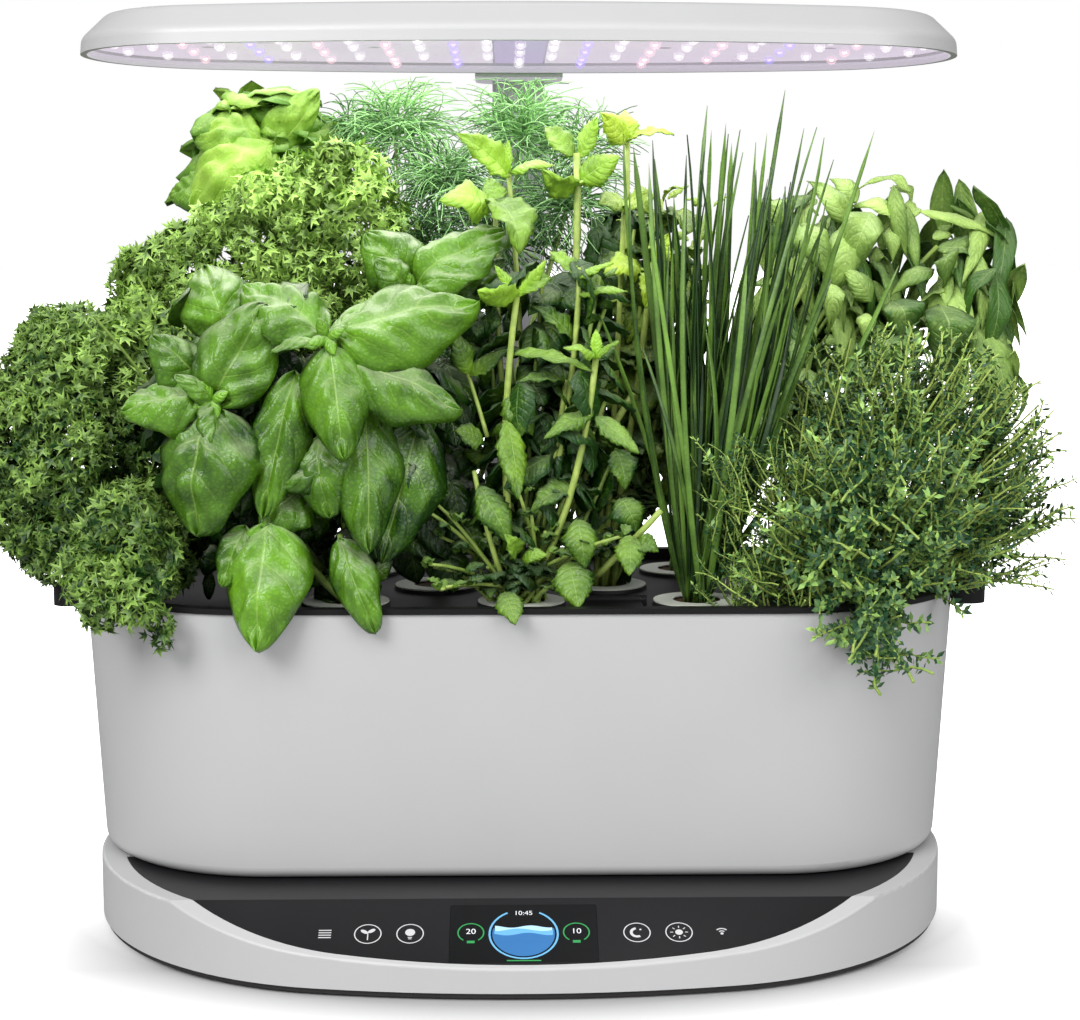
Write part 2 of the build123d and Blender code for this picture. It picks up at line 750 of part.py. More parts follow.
# ---- grow deck: tray over the rim, with a hole for each pod, a filling port and side grips ---
with BuildPart() as grow_deck:
    with BuildSketch(level(deck_low)):
        SlotOverall(skirt_length, skirt_depth)
    extrude(amount=lip_top - deck_low)
    with BuildSketch(level(rim_top)):
        SlotOverall(rim_length + 2 * lip_overhang, rim_depth + 2 * lip_overhang)
    extrude(amount=lip_thickness)
    with BuildSketch(level(rim_top)):
        with GridLocations(grip_reach + grip_root, 0, 2, 1):
            RectangleRounded(grip_reach - grip_root, grip_length, grip_corner)
    extrude(amount=lip_thickness + grip_rise)
    with BuildSketch(level(rim_top - grip_drop)):
        with GridLocations(grip_reach + grip_root, 0, 2, 1):
            RectangleRounded(grip_reach - grip_root, grip_length, grip_corner)
        SlotOverall(rim_length + 2 * deck_gap, rim_depth + 2 * deck_gap, mode=Mode.SUBTRACT)
    extrude(amount=grip_drop)
    with BuildSketch(level(deck_top)):
        SlotOverall(skirt_length - 2 * skirt_wall, skirt_depth - 2 * skirt_wall)
    extrude(amount=lip_top, mode=Mode.SUBTRACT)
    with BuildSketch(level(deck_top - collar_depth)):
        with Locations(*[(x, y) for _, x, y in pods]):
            Circle(pod_hole + collar_ring)
        with Locations((port_x, port_y)):
            Rectangle(port_width + 2 * port_wall, port_depth + 2 * port_wall)
    extrude(amount=collar_depth)
    with BuildSketch(level(deck_top - collar_depth)):
        with Locations(*[(x, y) for _, x, y in pods]):
            Circle(pod_hole)
        with Locations((port_x, port_y)):
            Rectangle(port_width, port_depth)
    extrude(amount=lip_top, mode=Mode.SUBTRACT)
    with BuildSketch(side_plane(port_x - lid_side / 2 - lid_gap - lug_width)):
        with Locations((hinge_y, hinge_z)):
            Circle(hinge_radius)
        with Locations((hinge_y, (deck_top + hinge_z) / 2)):
            Rectangle(2 * hinge_radius, hinge_z - deck_top)
        with Locations((hinge_y, hinge_z)):
            Circle(pin_radius, mode=Mode.SUBTRACT)
    extrude(amount=lug_width)
    with BuildSketch(side_plane(port_x + lid_side / 2 + lid_gap)):
        with Locations((hinge_y, hinge_z)):
            Circle(hinge_radius)
        with Locations((hinge_y, (deck_top + hinge_z) / 2)):
            Rectangle(2 * hinge_radius, hinge_z - deck_top)
        with Locations((hinge_y, hinge_z)):
            Circle(pin_radius, mode=Mode.SUBTRACT)
    extrude(amount=lug_width)
grow_deck.part.label = "grow_deck"

with BuildPart() as fill_lid:
    with BuildSketch(level(deck_top + lid_gap)):
        with Locations((port_x, port_y - hinge_radius / 2)):
            RectangleRounded(lid_side, lid_side - hinge_radius, 3)
        with Locations((port_x, port_y - lid_side / 2 - tab_reach / 2)):
            RectangleRounded(tab_width, tab_reach + 6, 2)
    extrude(amount=lid_thickness)
    with BuildSketch(side_plane(port_x - lid_side / 2)):
        with Locations((hinge_y, hinge_z)):
            Circle(hinge_radius)
        with Locations((hinge_y - hinge_radius, hinge_z - hinge_radius + lid_thickness / 2)):
            Rectangle(2 * hinge_radius, lid_thickness)
        with Locations((hinge_y, hinge_z)):
            Circle(pin_radius + pin_gap, mode=Mode.SUBTRACT)
    extrude(amount=lid_side)
fill_lid.part.label = "fill_lid"

with BuildPart() as fill_lid_pin:
    with BuildSketch(side_plane(port_x - lid_side / 2 - lid_gap - lug_width)):
        with Locations((hinge_y, hinge_z)):
            Circle(pin_radius)
    extrude(amount=lid_side + 2 * (lid_gap + lug_width))
fill_lid_pin.part.label = "fill_lid_pin"

# ---- level float on its post -----------------------------------------------------------------
with BuildPart() as float_post:
    with BuildSketch(level(float_stop)):
        with Locations((float_x, float_y)):
            Circle(stop_radius)
    extrude(amount=stop_height)
    with BuildSketch(level(float_stop)):
        with Locations((float_x, float_y)):
            Circle(post_radius)
    extrude(amount=deck_low - float_stop)
float_post.part.label = "float_post"

with BuildPart() as level_float:
    with BuildSketch(level(float_low)):
        with Locations((float_x, float_y)):
            Circle(float_radius)
    extrude(amount=float_height)
    fillet(level_float.edges(), 2)
    with BuildSketch(level(float_low)):
        with Locations((float_x, float_y)):
            Circle(post_radius + post_gap)
    extrude(amount=float_height, mode=Mode.SUBTRACT)
level_float.part.label = "level_float"

# ---- pump: strainer, cover, impeller on a shaft, finned housing and riser --------------------
with BuildPart() as pump_filter:
    with BuildSketch(level(floor_top, pump_y)):
        RectangleRounded(pump_width, pump_depth, pump_corner)
        RectangleRounded(pump_width - 2 * filter_wall, pump_depth - 2 * filter_wall,
                         pump_corner - filter_wall, mode=Mode.SUBTRACT)
    extrude(amount=filter_height)
    with BuildSketch(level(floor_top + filter_wall, pump_y)):
        with GridLocations((pump_width - 2 * pump_corner) / (filter_slots - 1), 0, filter_slots, 1):
            Rectangle(filter_slot, 2 * pump_depth)
    extrude(amount=filter_height - 2 * filter_wall, mode=Mode.SUBTRACT)
pump_filter.part.label = "pump_filter"

with BuildPart() as pump_cover:
    with BuildSketch(level(pump_low, pump_y)):
        RectangleRounded(pump_width, pump_depth, pump_corner)
        Circle(inlet_eye_radius, mode=Mode.SUBTRACT)
    extrude(amount=pump_cover_thickness)
pump_cover.part.label = "pump_cover"

with BuildPart() as pump_body:
    with BuildSketch(level(chamber_low, pump_y)):
        RectangleRounded(pump_width, pump_depth, pump_corner)
    extrude(amount=pump_height)
    fillet(pump_body.edges().group_by(Axis.Z)[-1], 3)
    with BuildSketch(level(chamber_low, pump_y)):
        Circle(chamber_radius)
        Circle(shaft_radius, mode=Mode.SUBTRACT)
    extrude(amount=chamber_height, mode=Mode.SUBTRACT)
    with BuildSketch(level(chamber_low + chamber_height, pump_y)):
        with Locations((0, chamber_radius - riser_radius)):
            Circle(riser_radius - riser_wall)
    extrude(amount=pump_height, mode=Mode.SUBTRACT)
    with BuildSketch(level(chamber_low + chamber_height, pump_y)):
        with GridLocations(pump_width, fin_pitch, 2, fin_count):
            Rectangle(2 * fin_depth, fin_pitch / 2)
    extrude(amount=pump_height - chamber_height - pump_corner, mode=Mode.SUBTRACT)
pump_body.part.label = "pump_body"

with BuildPart() as pump_impeller:
    with BuildSketch(level(chamber_low + impeller_gap, pump_y)):
        Circle(impeller_hub)
        with PolarLocations(blade_middle, impeller_blades):
            Rectangle(blade_length, blade_thickness)
        Circle(shaft_radius + shaft_gap, mode=Mode.SUBTRACT)
    extrude(amount=chamber_height - 2 * impeller_gap)
pump_impeller.part.label = "pump_impeller"

with BuildPart() as pump_riser:
    with BuildSketch(level(chamber_low + pump_height, pump_y)):
        with Locations((0, chamber_radius - riser_radius)):
            Circle(riser_radius)
            Circle(riser_radius - riser_wall, mode=Mode.SUBTRACT)
    extrude(amount=deck_low - chamber_low - pump_height)
pump_riser.part.label = "pump_riser"


# ---- pods: basket, sponge and label ring -----------------------------------------------------
def grow_basket(x, y):
    """Tapered cup with a flange on the deck and slots low in its wall."""
    low = deck_top - basket_length
    axis = Axis((x, bowl_y + y, 0), (0, 0, 1))
    lean = (basket_top_radius - basket_foot_radius) / basket_length
    with BuildPart() as basket:
        with BuildSketch(front_plane(x, y)):
            with BuildLine():
                Polyline(
                    (0, low),
                    (basket_foot_radius, low),
                    (basket_top_radius, deck_top),
                    (flange_radius, deck_top),
                    (flange_radius, flange_top),
                    (basket_top_radius - basket_wall, flange_top),
                    (basket_foot_radius + basket_wall * (lean - 1), low + basket_wall),
                    (0, low + basket_wall),
                    close=True,
                )
            make_face()
        revolve(axis=axis)
        with BuildSketch(Plane(origin=(x, bowl_y + y, low + slot_rise))):
            with PolarLocations(basket_top_radius / 2 + 3, slot_count):
                Rectangle(basket_top_radius, slot_width)
        extrude(amount=slot_length, mode=Mode.SUBTRACT)
    return basket.part


def grow_sponge(x, y):
    """Tapered plug of growing foam that fills the basket from its floor to the label."""
    low = deck_top - basket_length + basket_wall + sponge_gap
    lean = (basket_top_radius - basket_foot_radius) / basket_length
    foot = basket_foot_radius - basket_wall - sponge_gap
    with BuildPart() as sponge:
        with BuildSketch(Plane(origin=(x, bowl_y + y, low))):
            RegularPolygon(foot, sponge_sides)
        with BuildSketch(Plane(origin=(x, bowl_y + y, sponge_top))):
            RegularPolygon(foot + lean * (sponge_top - low), sponge_sides)
        loft(ruled=True)
    return sponge.part


grow_baskets = []
grow_sponges = []
for pod_name, pod_x, pod_y in pods:
    basket = grow_basket(pod_x, pod_y)
    basket.label = f"basket_{pod_name}"
    grow_baskets.append(basket)
    sponge = grow_sponge(pod_x, pod_y)
    sponge.label = f"sponge_{pod_name}"
    grow_sponges.append(sponge)

with BuildPart() as pod_labels:
    with BuildSketch(level(flange_top)):
        with Locations(*[(x, y) for _, x, y in pods]):
            Circle(label_radius)
            Circle(label_hole, mode=Mode.SUBTRACT)
    extrude(amount=label_thickness)
pod_labels.part.label = "pod_labels"


# ---- plants: faceted solids of each plant's reach --------------------------------------------
class Ring(NamedTuple):
    """Cross section of a leafy mass: height over the deck, middle from its pod, share of full size."""

    height: float
    x: float
    y: float
    share: float


pod_places = {name: (x, y) for name, x, y in pods}
leaf_low = sponge_top - deck_top
rim_front = -rim_depth / 2 - lip_overhang


def leafy(pod, radius_x, radius_y, rings, sides=10):
    """Faceted mass over a pod, between rings that are all one polygon at different sizes."""
    pod_x, pod_y = pod_places[pod]
    with BuildPart() as mass:
        for ring in rings:
            with BuildSketch(level(deck_top + ring.height)):
                with BuildLine():
                    Polyline(
                        *[
                            (
                                pod_x + ring.x + ring.share * radius_x * cos(2 * pi * side / sides),
                                pod_y + ring.y + ring.share * radius_y * sin(2 * pi * side / sides),
                            )
                            for side in range(sides)
                        ],
                        close=True,
                    )
                make_face()
        loft(ruled=True)
    return mass.part


def stem(pod, top, radius=8.0):
    """Bundle of stalks from the sponge up into the leaves."""
    return leafy(pod, radius, radius, (Ring(leaf_low, 0, 0, 1), Ring(top, 0, 0, 1)), 8)


with BuildPart() as plant_basil_front:
    add(stem("front_left", 44))
    add(leafy("front_left", 50, 26, (
        Ring(12, -6, -14, 0.8),
        Ring(44, -6, -14, 1),
        Ring(76, -8, -16, 0.9),
    )))
    add(leafy("front_left", 76, 40, (
        Ring(40, -16, -24, 0.55),
        Ring(72, -16, -24, 0.88),
        Ring(106, -16, -24, 1),
        Ring(149, -16, -24, 0.85),
        Ring(182, -14, -22, 0.45),
    )))
    add(leafy("front_left", 20, 6, (
        Ring(-16, -34, -61, 0.3),
        Ring(0, -34, -60, 0.9),
        Ring(24, -34, -59, 1),
        Ring(69, -28, -42, 1),
    )))
plant_basil_front.part.label = "plant_basil_front"

with BuildPart() as plant_mint:
    add(stem("front_middle", 49))
    add(leafy("front_middle", 20, 22, (Ring(10, -2, -10, 0.8), Ring(49, 0, -12, 1))))
    add(leafy("front_middle", 34, 30, (
        Ring(44, 12, -14, 0.7),
        Ring(72, 14, -14, 1),
        Ring(144, 14, -14, 1),
        Ring(grow_height - 66, 14, -14, 0.75),
        Ring(grow_height - 37, 14, -14, 0.3),
    )))
plant_mint.part.label = "plant_mint"

with BuildPart() as plant_chives:
    add(leafy("front_right", 60, 24, (
        Ring(leaf_low, 0, 0, 0.17),
        Ring(74, 2, 0, 0.4),
        Ring(164, 14, -1, 0.72),
        Ring(grow_height - 19, 23, -2, 1),
    ), 8))
plant_chives.part.label = "plant_chives"

with BuildPart() as plant_parsley:
    add(stem("middle_outer_left", 106))
    add(leafy("middle_outer_left", 40, 20, (
        Ring(19, -34, -5, 0.6),
        Ring(49, -34, -5, 1),
        Ring(102, -34, -3, 1),
    )))
    add(leafy("middle_outer_left", 72, 21, (
        Ring(94, -2, -3, 0.85),
        Ring(134, -2, -3, 1),
        Ring(grow_height - 71, 2, -3, 0.95),
        Ring(grow_height - 39, 6, -3, 0.5),
    )))
    add(leafy("middle_outer_left", 45, 52, (
        Ring(12, -91, -5, 0.72),
        Ring(44, -91, -5, 1),
        Ring(94, -91, -5, 1),
        Ring(136, -84, -5, 0.65),
    )))
    add(leafy("middle_outer_left", 28, 34, (
        Ring(10, -56, rim_front + 34.5, 0.85),
        Ring(42, -56, rim_front + 34.5, 1),
        Ring(59, -56, rim_front + 36.5, 0.5),
    )))
    add(leafy("middle_outer_left", 24, 7, (
        Ring(-14, -56, rim_front - 4.5, 0.6),
        Ring(8, -56, rim_front - 2.5, 1),
        Ring(36, -56, rim_front + 8.5, 1),
    )))
plant_parsley.part.label = "plant_parsley"

with BuildPart() as plant_dill:
    add(leafy("middle_left", 58, 34, (
        Ring(leaf_low, 0, 0, 0.16),
        Ring(79, 4, 8, 0.4),
        Ring(144, 17, 44, 0.8),
        Ring(189, 14, 55, 1),
        Ring(grow_height - 11, 14, 55, 0.75),
    )))
plant_dill.part.label = "plant_dill"

with BuildPart() as plant_lemon_balm:
    add(leafy("middle_right", 34, 22, (
        Ring(leaf_low, 0, 0, 0.28),
        Ring(59, 6, 0, 0.85),
        Ring(134, 18, 2, 1),
        Ring(184, 18, 4, 0.6),
    )))
plant_lemon_balm.part.label = "plant_lemon_balm"

with BuildPart() as plant_thyme:
    add(stem("middle_outer_right", 24))
    add(leafy("middle_outer_right", 10, 10, (Ring(16, 0, 0, 1), Ring(49, 24, -12, 1)), 8))
    add(leafy("middle_outer_right", 72, 50, (
        Ring(12, 64, rim_front + 66.5, 0.85),
        Ring(44, 64, rim_front + 66.5, 1),
        Ring(82, 64, rim_front + 66.5, 0.92),
        Ring(109, 60, rim_front + 66.5, 0.66),
        Ring(125, 58, rim_front + 66.5, 0.32),
    )))
    add(leafy("middle_outer_right", 50, 18, (
        Ring(-13, 32, rim_front - 11.5, 0.3),
        Ring(8, 32, rim_front - 10.5, 0.45),
        Ring(34, 34, rim_front + 4.5, 1),
        Ring(79, 38, rim_front + 14.5, 0.7),
    )))
plant_thyme.part.label = "plant_thyme"

with BuildPart() as plant_basil_back:
    add(leafy("back_left", 45, 33, (
        Ring(leaf_low, 0, 0, 0.13),
        Ring(94, -8, 2, 0.3),
        Ring(164, -32, 7, 0.55),
        Ring(196, -49, 10, 0.95),
        Ring(grow_height - 14, -49, 10, 0.6),
    )))
plant_basil_back.part.label = "plant_basil_back"

with BuildPart() as plant_thai_basil:
    add(leafy("back_right", 62, 32, (
        Ring(leaf_low, 0, 0, 0.12),
        Ring(72, 22, 2, 0.35),
        Ring(108, 72, 7, 0.62),
        Ring(150, 88, 7, 0.78),
        Ring(184, 82, 7, 0.7),
        Ring(200, 78, 7, 0.4),
    )))
    add(leafy("back_right", 36, 26, (
        Ring(138, 116, 8, 0.7),
        Ring(176, 122, 9, 1),
        Ring(198, 118, 9, 0.85),
        Ring(209, 112, 9, 0.4),
    )))
    add(leafy("back_right", 27, 21, (
        Ring(76, 167, 1, 0.35),
        Ring(104, 157, 2, 0.75),
        Ring(146, 150, 4, 1),
        Ring(178, 149, 7, 0.9),
        Ring(190, 142, 8, 0.5),
    )))
plant_thai_basil.part.label = "plant_thai_basil"

# ---- one file for each piece -----------------------------------------------------------------
pieces = [
    base_shell, base_bottom_cover, rubber_feet, bottom_screws, control_panel, display_screen,
    control_board, power_inlet, mast_housing, mast_outer, mast_outer_collar, mast_middle,
    mast_middle_collar, mast_inner, lamp_arm, lamp_hood, heat_spreader, led_board, leds,
    lamp_lens, lamp_screws, water_bowl, grow_deck, fill_lid, fill_lid_pin, float_post,
    level_float, pump_filter, pump_cover, pump_body, pump_impeller, pump_riser, pod_labels,
    plant_basil_front, plant_mint, plant_chives, plant_parsley, plant_dill, plant_lemon_balm,
    plant_thyme, plant_basil_back, plant_thai_basil,
]
os.makedirs("parts", exist_ok=True)
for solid in [piece.part for piece in pieces] + grow_baskets + grow_sponges:
    export_step(solid, f"parts/{solid.label}.step")
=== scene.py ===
import bpy
import bmesh
from math import cos, pi, radians, sin, sqrt
from random import Random
from mathutils import Matrix, Vector, noise


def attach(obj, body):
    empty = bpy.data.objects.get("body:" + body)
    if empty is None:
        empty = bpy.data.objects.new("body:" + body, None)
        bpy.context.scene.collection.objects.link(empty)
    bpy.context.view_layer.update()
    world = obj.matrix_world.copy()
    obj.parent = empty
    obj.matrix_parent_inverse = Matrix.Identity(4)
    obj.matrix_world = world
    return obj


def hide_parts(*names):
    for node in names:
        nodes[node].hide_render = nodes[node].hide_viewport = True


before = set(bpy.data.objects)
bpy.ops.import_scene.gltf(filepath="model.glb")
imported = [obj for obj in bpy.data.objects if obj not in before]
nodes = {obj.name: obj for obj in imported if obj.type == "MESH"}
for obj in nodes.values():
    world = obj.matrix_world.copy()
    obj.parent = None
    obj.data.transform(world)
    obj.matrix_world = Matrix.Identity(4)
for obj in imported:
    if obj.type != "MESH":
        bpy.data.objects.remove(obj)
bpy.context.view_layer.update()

MM = 0.001
BOWL_Y = 15.0
POD_X, POD_Y = 42, 48
POD_TOP = 157


def at(x, y, z):
    """Point in metres from millimetres, y from the middle of the bowl."""
    return Vector((x, y + BOWL_Y, z)) * MM


def pod(column, row):
    """Middle of a pod's top, by its column and row from the middle of the deck."""
    return at(POD_X * column, POD_Y * row, POD_TOP)


def shade(red, green, blue):
    """Linear colour from 0-255 values."""
    channels = []
    for value in (red, green, blue):
        value /= 255
        channels.append(value / 12.92 if value <= 0.04045 else ((value + 0.055) / 1.055) ** 2.4)
    return (*channels, 1.0)


def dimmed(colour, share):
    """Colour with a share of its light."""
    return (*(channel * share for channel in colour[:3]), 1.0)


def drawn(draw, *limits):
    """Random numbers in order, one for each pair of limits; a bare number stays as it is."""
    return [draw.uniform(*one) if isinstance(one, tuple) else one for one in limits]


def held(value):
    """Value kept from 0 to 1."""
    return max(0.0, min(1.0, value))


def mesh_of(name, shape):
    """Mesh made from a shape, which is freed."""
    mesh = bpy.data.meshes.new(name)
    shape.to_mesh(mesh)
    shape.free()
    return mesh


def object_of(name, shape, materials):
    """Object made from a shape, with its materials, in the scene."""
    mesh = mesh_of(name, shape)
    for material in materials:
        mesh.materials.append(material)
    made = bpy.data.objects.new(name, mesh)
    bpy.context.scene.collection.objects.link(made)
    return made


# ---- materials -------------------------------------------------------------------------------
class Wire:
    """Output of a shader node; sums and products of wires add the nodes that work them out."""

    def __init__(self, tree, socket):
        self.tree = tree
        self.socket = socket

    def __add__(self, other):
        return self.tree.math("ADD", self, other)

    def __sub__(self, other):
        return self.tree.math("SUBTRACT", self, other)

    def __rsub__(self, other):
        return self.tree.math("SUBTRACT", other, self)

    def __mul__(self, other):
        return self.tree.math("MULTIPLY", self, other)

    def __truediv__(self, other):
        return self.tree.math("DIVIDE", self, other)

    def __pow__(self, other):
        return self.tree.math("POWER", self, other)

    def __abs__(self):
        return self.tree.math("ABSOLUTE", self)

    def under(self, limit):
        """One where the value is under a limit, else nothing."""
        return self.tree.math("LESS_THAN", self, limit)

    def clamped(self):
        """The same value, kept from 0 to 1 by its own node."""
        self.socket.node.use_clamp = True
        return self


class Tree:
    """Node tree with short ways to add nodes and join them."""

    def __init__(self, tree):
        self.tree = tree

    def add(self, kind, **values):
        """New node with its settings."""
        node = self.tree.nodes.new("ShaderNode" + kind)
        for name, value in values.items():
            setattr(node, name, value)
        return node

    def feed(self, node, inputs):
        """Joins wires to a node's inputs, and sets numbers and colours on them."""
        for key, value in inputs.items():
            if isinstance(value, Wire):
                self.tree.links.new(value.socket, node.inputs[key])
            else:
                node.inputs[key].default_value = value

    def wire(self, kind, inputs, output=0, **values):
        """One output of a new node."""
        node = self.add(kind, **values)
        self.feed(node, inputs)
        return Wire(self, node.outputs[output])

    def group(self, effect, **inputs):
        """Outputs of an effect by their names, with its own values."""
        node = self.add("Group", node_tree=effect)
        self.feed(node, inputs)
        return {socket.name: Wire(self, socket) for socket in node.outputs}

    def math(self, operation, *values):
        return self.wire("Math", dict(enumerate(values)), operation=operation)

    def blend(self, factor, first, second):
        """Mixed colour; each side is a colour or a wire."""
        return self.wire("Mix", {0: factor, 6: first, 7: second}, 2, data_type="RGBA")

    def scale(self, *values):
        """Value mapped from a low and a high limit to two others."""
        return self.wire("MapRange", dict(enumerate(values)))

    def place(self, output="Object"):
        return self.wire("TexCoord", {}, output)

    def facing(self):
        """Direction that the face looks to, as X, Y and Z."""
        return self.axes(self.wire("NewGeometry", {}, "Normal"))

    def axes(self, vector):
        """X, Y and Z of a vector."""
        node = self.add("SeparateXYZ")
        self.feed(node, {0: vector})
        return [Wire(self, socket) for socket in node.outputs]

    def mottle(self, scale, **inputs):
        """Noise on Object coordinates."""
        return self.wire("TexNoise", {"Vector": self.place(), "Scale": scale, **inputs})

    def tint(self):
        """The leaf's own tint."""
        return self.wire("Attribute", {}, "Fac", attribute_name="tint")

    def bump(self, height, strength, distance):
        return self.wire("Bump", {"Height": height, "Strength": strength, "Distance": distance})

    def camera_ray(self):
        return self.wire("LightPath", {}, "Is Camera Ray")


def effect(name, inputs, work):
    """Node group with number inputs; work gives its outputs from its tree and those inputs."""
    group = bpy.data.node_groups.new(name, "ShaderNodeTree")
    tree = Tree(group)
    for label, value in inputs.items():
        group.interface.new_socket(label, in_out="INPUT", socket_type="NodeSocketFloat").default_value = value
    start = group.nodes.new("NodeGroupInput")
    outputs = work(tree, *(Wire(tree, start.outputs[label]) for label in inputs))
    for label in outputs:
        group.interface.new_socket(label, in_out="OUTPUT", socket_type="NodeSocketFloat")
    tree.feed(group.nodes.new("NodeGroupOutput"), outputs)
    return group


def grain_and_mottling(tree, grain, mottle):
    """Fine moulded grain and slow mottling of a plastic or painted face."""
    return {"Height": tree.mottle(grain, Detail=2.0), "Tone": tree.mottle(mottle)}


def leaf_veins(tree, pairs, slant, width):
    """Midrib and arching side veins of a leaf on its UV map, the pillows and the net between them."""
    midrib, net_scale = 0.045, 420.0
    u, v, _ = tree.axes(tree.place("UV"))
    across = abs(u - 0.5) * 2.0
    bow = across ** 1.4 * slant + tree.mottle(70.0) * 0.5
    ridge = abs(tree.math("FRACT", v * pairs - bow) - 0.5) * 2.0
    side = ((ridge - (1.0 - width)) / width).clamped()
    side = (side * (1.0 - across)).clamped()
    middle = (1.0 - across / midrib).clamped()
    vein = tree.math("MAXIMUM", side * 0.8, middle).clamped()
    cells = tree.wire("TexVoronoi", {"Vector": tree.place(), "Scale": net_scale}, "Distance",
                      feature="DISTANCE_TO_EDGE")
    net = (cells * 2.5).clamped()
    height = (1.0 - ridge ** 3.0) * 0.8 - vein * 0.6 + net * 0.35
    return {"Vein": vein, "Height": height, "Across": across, "Net": net}


MOULDED = effect("moulded", {"Grain": 900.0, "Mottle": 18.0}, grain_and_mottling)
VEINS = effect("leaf_veins", {"Pairs": 6.0, "Slant": 1.5, "Width": 0.12}, leaf_veins)


def principled(material):
    """Tree and Principled shader of a material."""
    return Tree(material.node_tree), material.node_tree.nodes["Principled BSDF"]


def blank(name):
    """New material with its tree and its Principled shader."""
    material = bpy.data.materials.new(name)
    material.use_nodes = True
    return material, *principled(material)


def moulded(name, colour, roughness, depth=0.02, contrast=0.05, grain=900.0, metallic=0.0, specular=0.5):
    """Plastic, rubber or metal face with fine grain and faint mottling."""
    material, tree, shader = blank(name)
    face = tree.group(MOULDED, Grain=grain)
    tree.feed(shader, {
        "Base Color": tree.blend(face["Tone"], dimmed(colour, 1 - contrast), colour),
        "Roughness": tree.scale(face["Tone"], 0.3, 0.7, roughness * 0.92, roughness * 1.08),
        "Normal": tree.bump(face["Height"], depth, 0.5 * MM),
        "Metallic": metallic,
        "Specular IOR Level": specular,
    })
    return material


def leafy(name, dark, light, vein, roughness, pairs, sheen_strength, slant=1.5, width=0.08, puff=0.35):
    """Leaf face: tone by the leaf's own tint, veins on its UV map, and a painted pale sheen where it looks up,
    standing in for light from above.
    """
    material, tree, shader = blank(name)
    face = tree.group(VEINS, Pairs=pairs, Slant=slant, Width=width)
    patches = tree.mottle(60.0, Detail=5.0)
    tone = tree.tint() + tree.scale(patches, 0.3, 0.7, -0.22, 0.22)
    tone = tone + tree.scale(face["Net"], 0.0, 1.0, -0.12, 0.04)
    tone = (tone - face["Across"] ** 3.0 * 0.2).clamped()
    colour = tree.blend(face["Vein"] * 0.35, tree.blend(tone, dark, light), vein)
    # Painted sheen: pale colour on faces that look up, standing in for the light from above.
    painted_sheen = tree.scale(tree.facing()[2], 0.4, 1.0, 0.0, sheen_strength) * tree.scale(patches, 0.35, 0.6, 0.75, 1.0)
    tree.feed(shader, {
        "Base Color": tree.blend(painted_sheen, colour, shade(206, 214, 184)),
        "Roughness": roughness,
        "Normal": tree.bump(face["Height"], puff, 1.2 * MM),
    })
    return material


def fine_leaf(name, dark, light, roughness):
    """Small leaves and threads: tone by their own tint and a fine mottle."""
    material, tree, shader = blank(name)
    tone = (tree.tint() + tree.scale(tree.mottle(220.0), 0.3, 0.7, -0.2, 0.2)).clamped()
    tree.feed(shader, {"Base Color": tree.blend(tone, dark, light), "Roughness": roughness})
    return material


def painted_glow(material, faces, tone, strength):
    """Gives a finish a painted glow on some of its faces: emission that stands in for light falling there."""
    tree, shader = principled(material)
    tree.feed(shader, {"Emission Color": tree.blend(faces(tree), shade(0, 0, 0), tone),
                       "Emission Strength": strength})
    return material


def rim_faces(tree):
    """Inner faces of the hood's rim, the ones that look at its middle."""
    x, y, z = tree.axes(tree.place())
    look_x, look_y, _ = tree.facing()
    return (x * look_x + y * look_y).under(-0.004) * z.under(0.4195)


def lower_faces(tree):
    """Faces that look down, where a painted glow stands for what the table and the leaves throw back."""
    return tree.facing()[2].under(-0.5)


def lit_board():
    """White board of the lamp with a darker spine along its middle; its emission is a faint painted glow for the
    LEDs' light on it.
    """
    material, tree, shader = blank("led_board_white")
    spine = abs(tree.axes(tree.place())[0]).under(0.013)
    mottle = tree.mottle(14.0)
    sheet = tree.blend(mottle, shade(220, 208, 226), shade(232, 222, 234))
    dull = tree.blend(mottle, shade(132, 124, 138), shade(142, 134, 146))
    # Emission: painted glow for the LEDs' light on the board.
    tree.feed(shader, {
        "Base Color": tree.blend(spine, dull, shade(110, 98, 128)),
        "Emission Color": tree.blend(spine, sheet, shade(178, 160, 206)),
        "Emission Strength": 0.82,
        "Roughness": 0.5,
    })
    return material


LED_WHITE, LED_VIOLET, LED_PINK = (255, 250, 255), (176, 160, 255), (255, 212, 226)
LED_TONES = (
    (0.0, LED_WHITE), (1.5, LED_VIOLET), (2.5, LED_WHITE), (3.5, LED_PINK), (4.5, LED_WHITE),
    (5.5, (255, 214, 226)), (6.5, LED_WHITE), (7.5, (178, 162, 255)), (8.5, LED_WHITE),
    (9.5, (255, 212, 222)), (10.5, LED_WHITE),
)
LED_COLUMN = 0.0158
RAMP_COLUMNS = 16


def led_finish(name, strength, alpha):
    """Lit finish in the colour of the LED column at this distance from the middle of the lamp."""
    material, tree, shader = blank(name)
    ramp = tree.add("ValToRGB")
    ramp.color_ramp.interpolation = "CONSTANT"
    stops = ramp.color_ramp.elements
    while len(stops) < len(LED_TONES):
        stops.new(0.5)
    for stop, (position, tone) in zip(stops, LED_TONES):
        stop.position = position / RAMP_COLUMNS
        stop.color = shade(*tone)
    tree.feed(ramp, {0: abs(tree.axes(tree.place())[0]) / (LED_COLUMN * RAMP_COLUMNS)})
    colour = Wire(tree, ramp.outputs[0])
    tree.feed(shader, {"Base Color": colour, "Emission Color": colour, "Emission Strength": strength,
                       "Alpha": alpha})
    return material


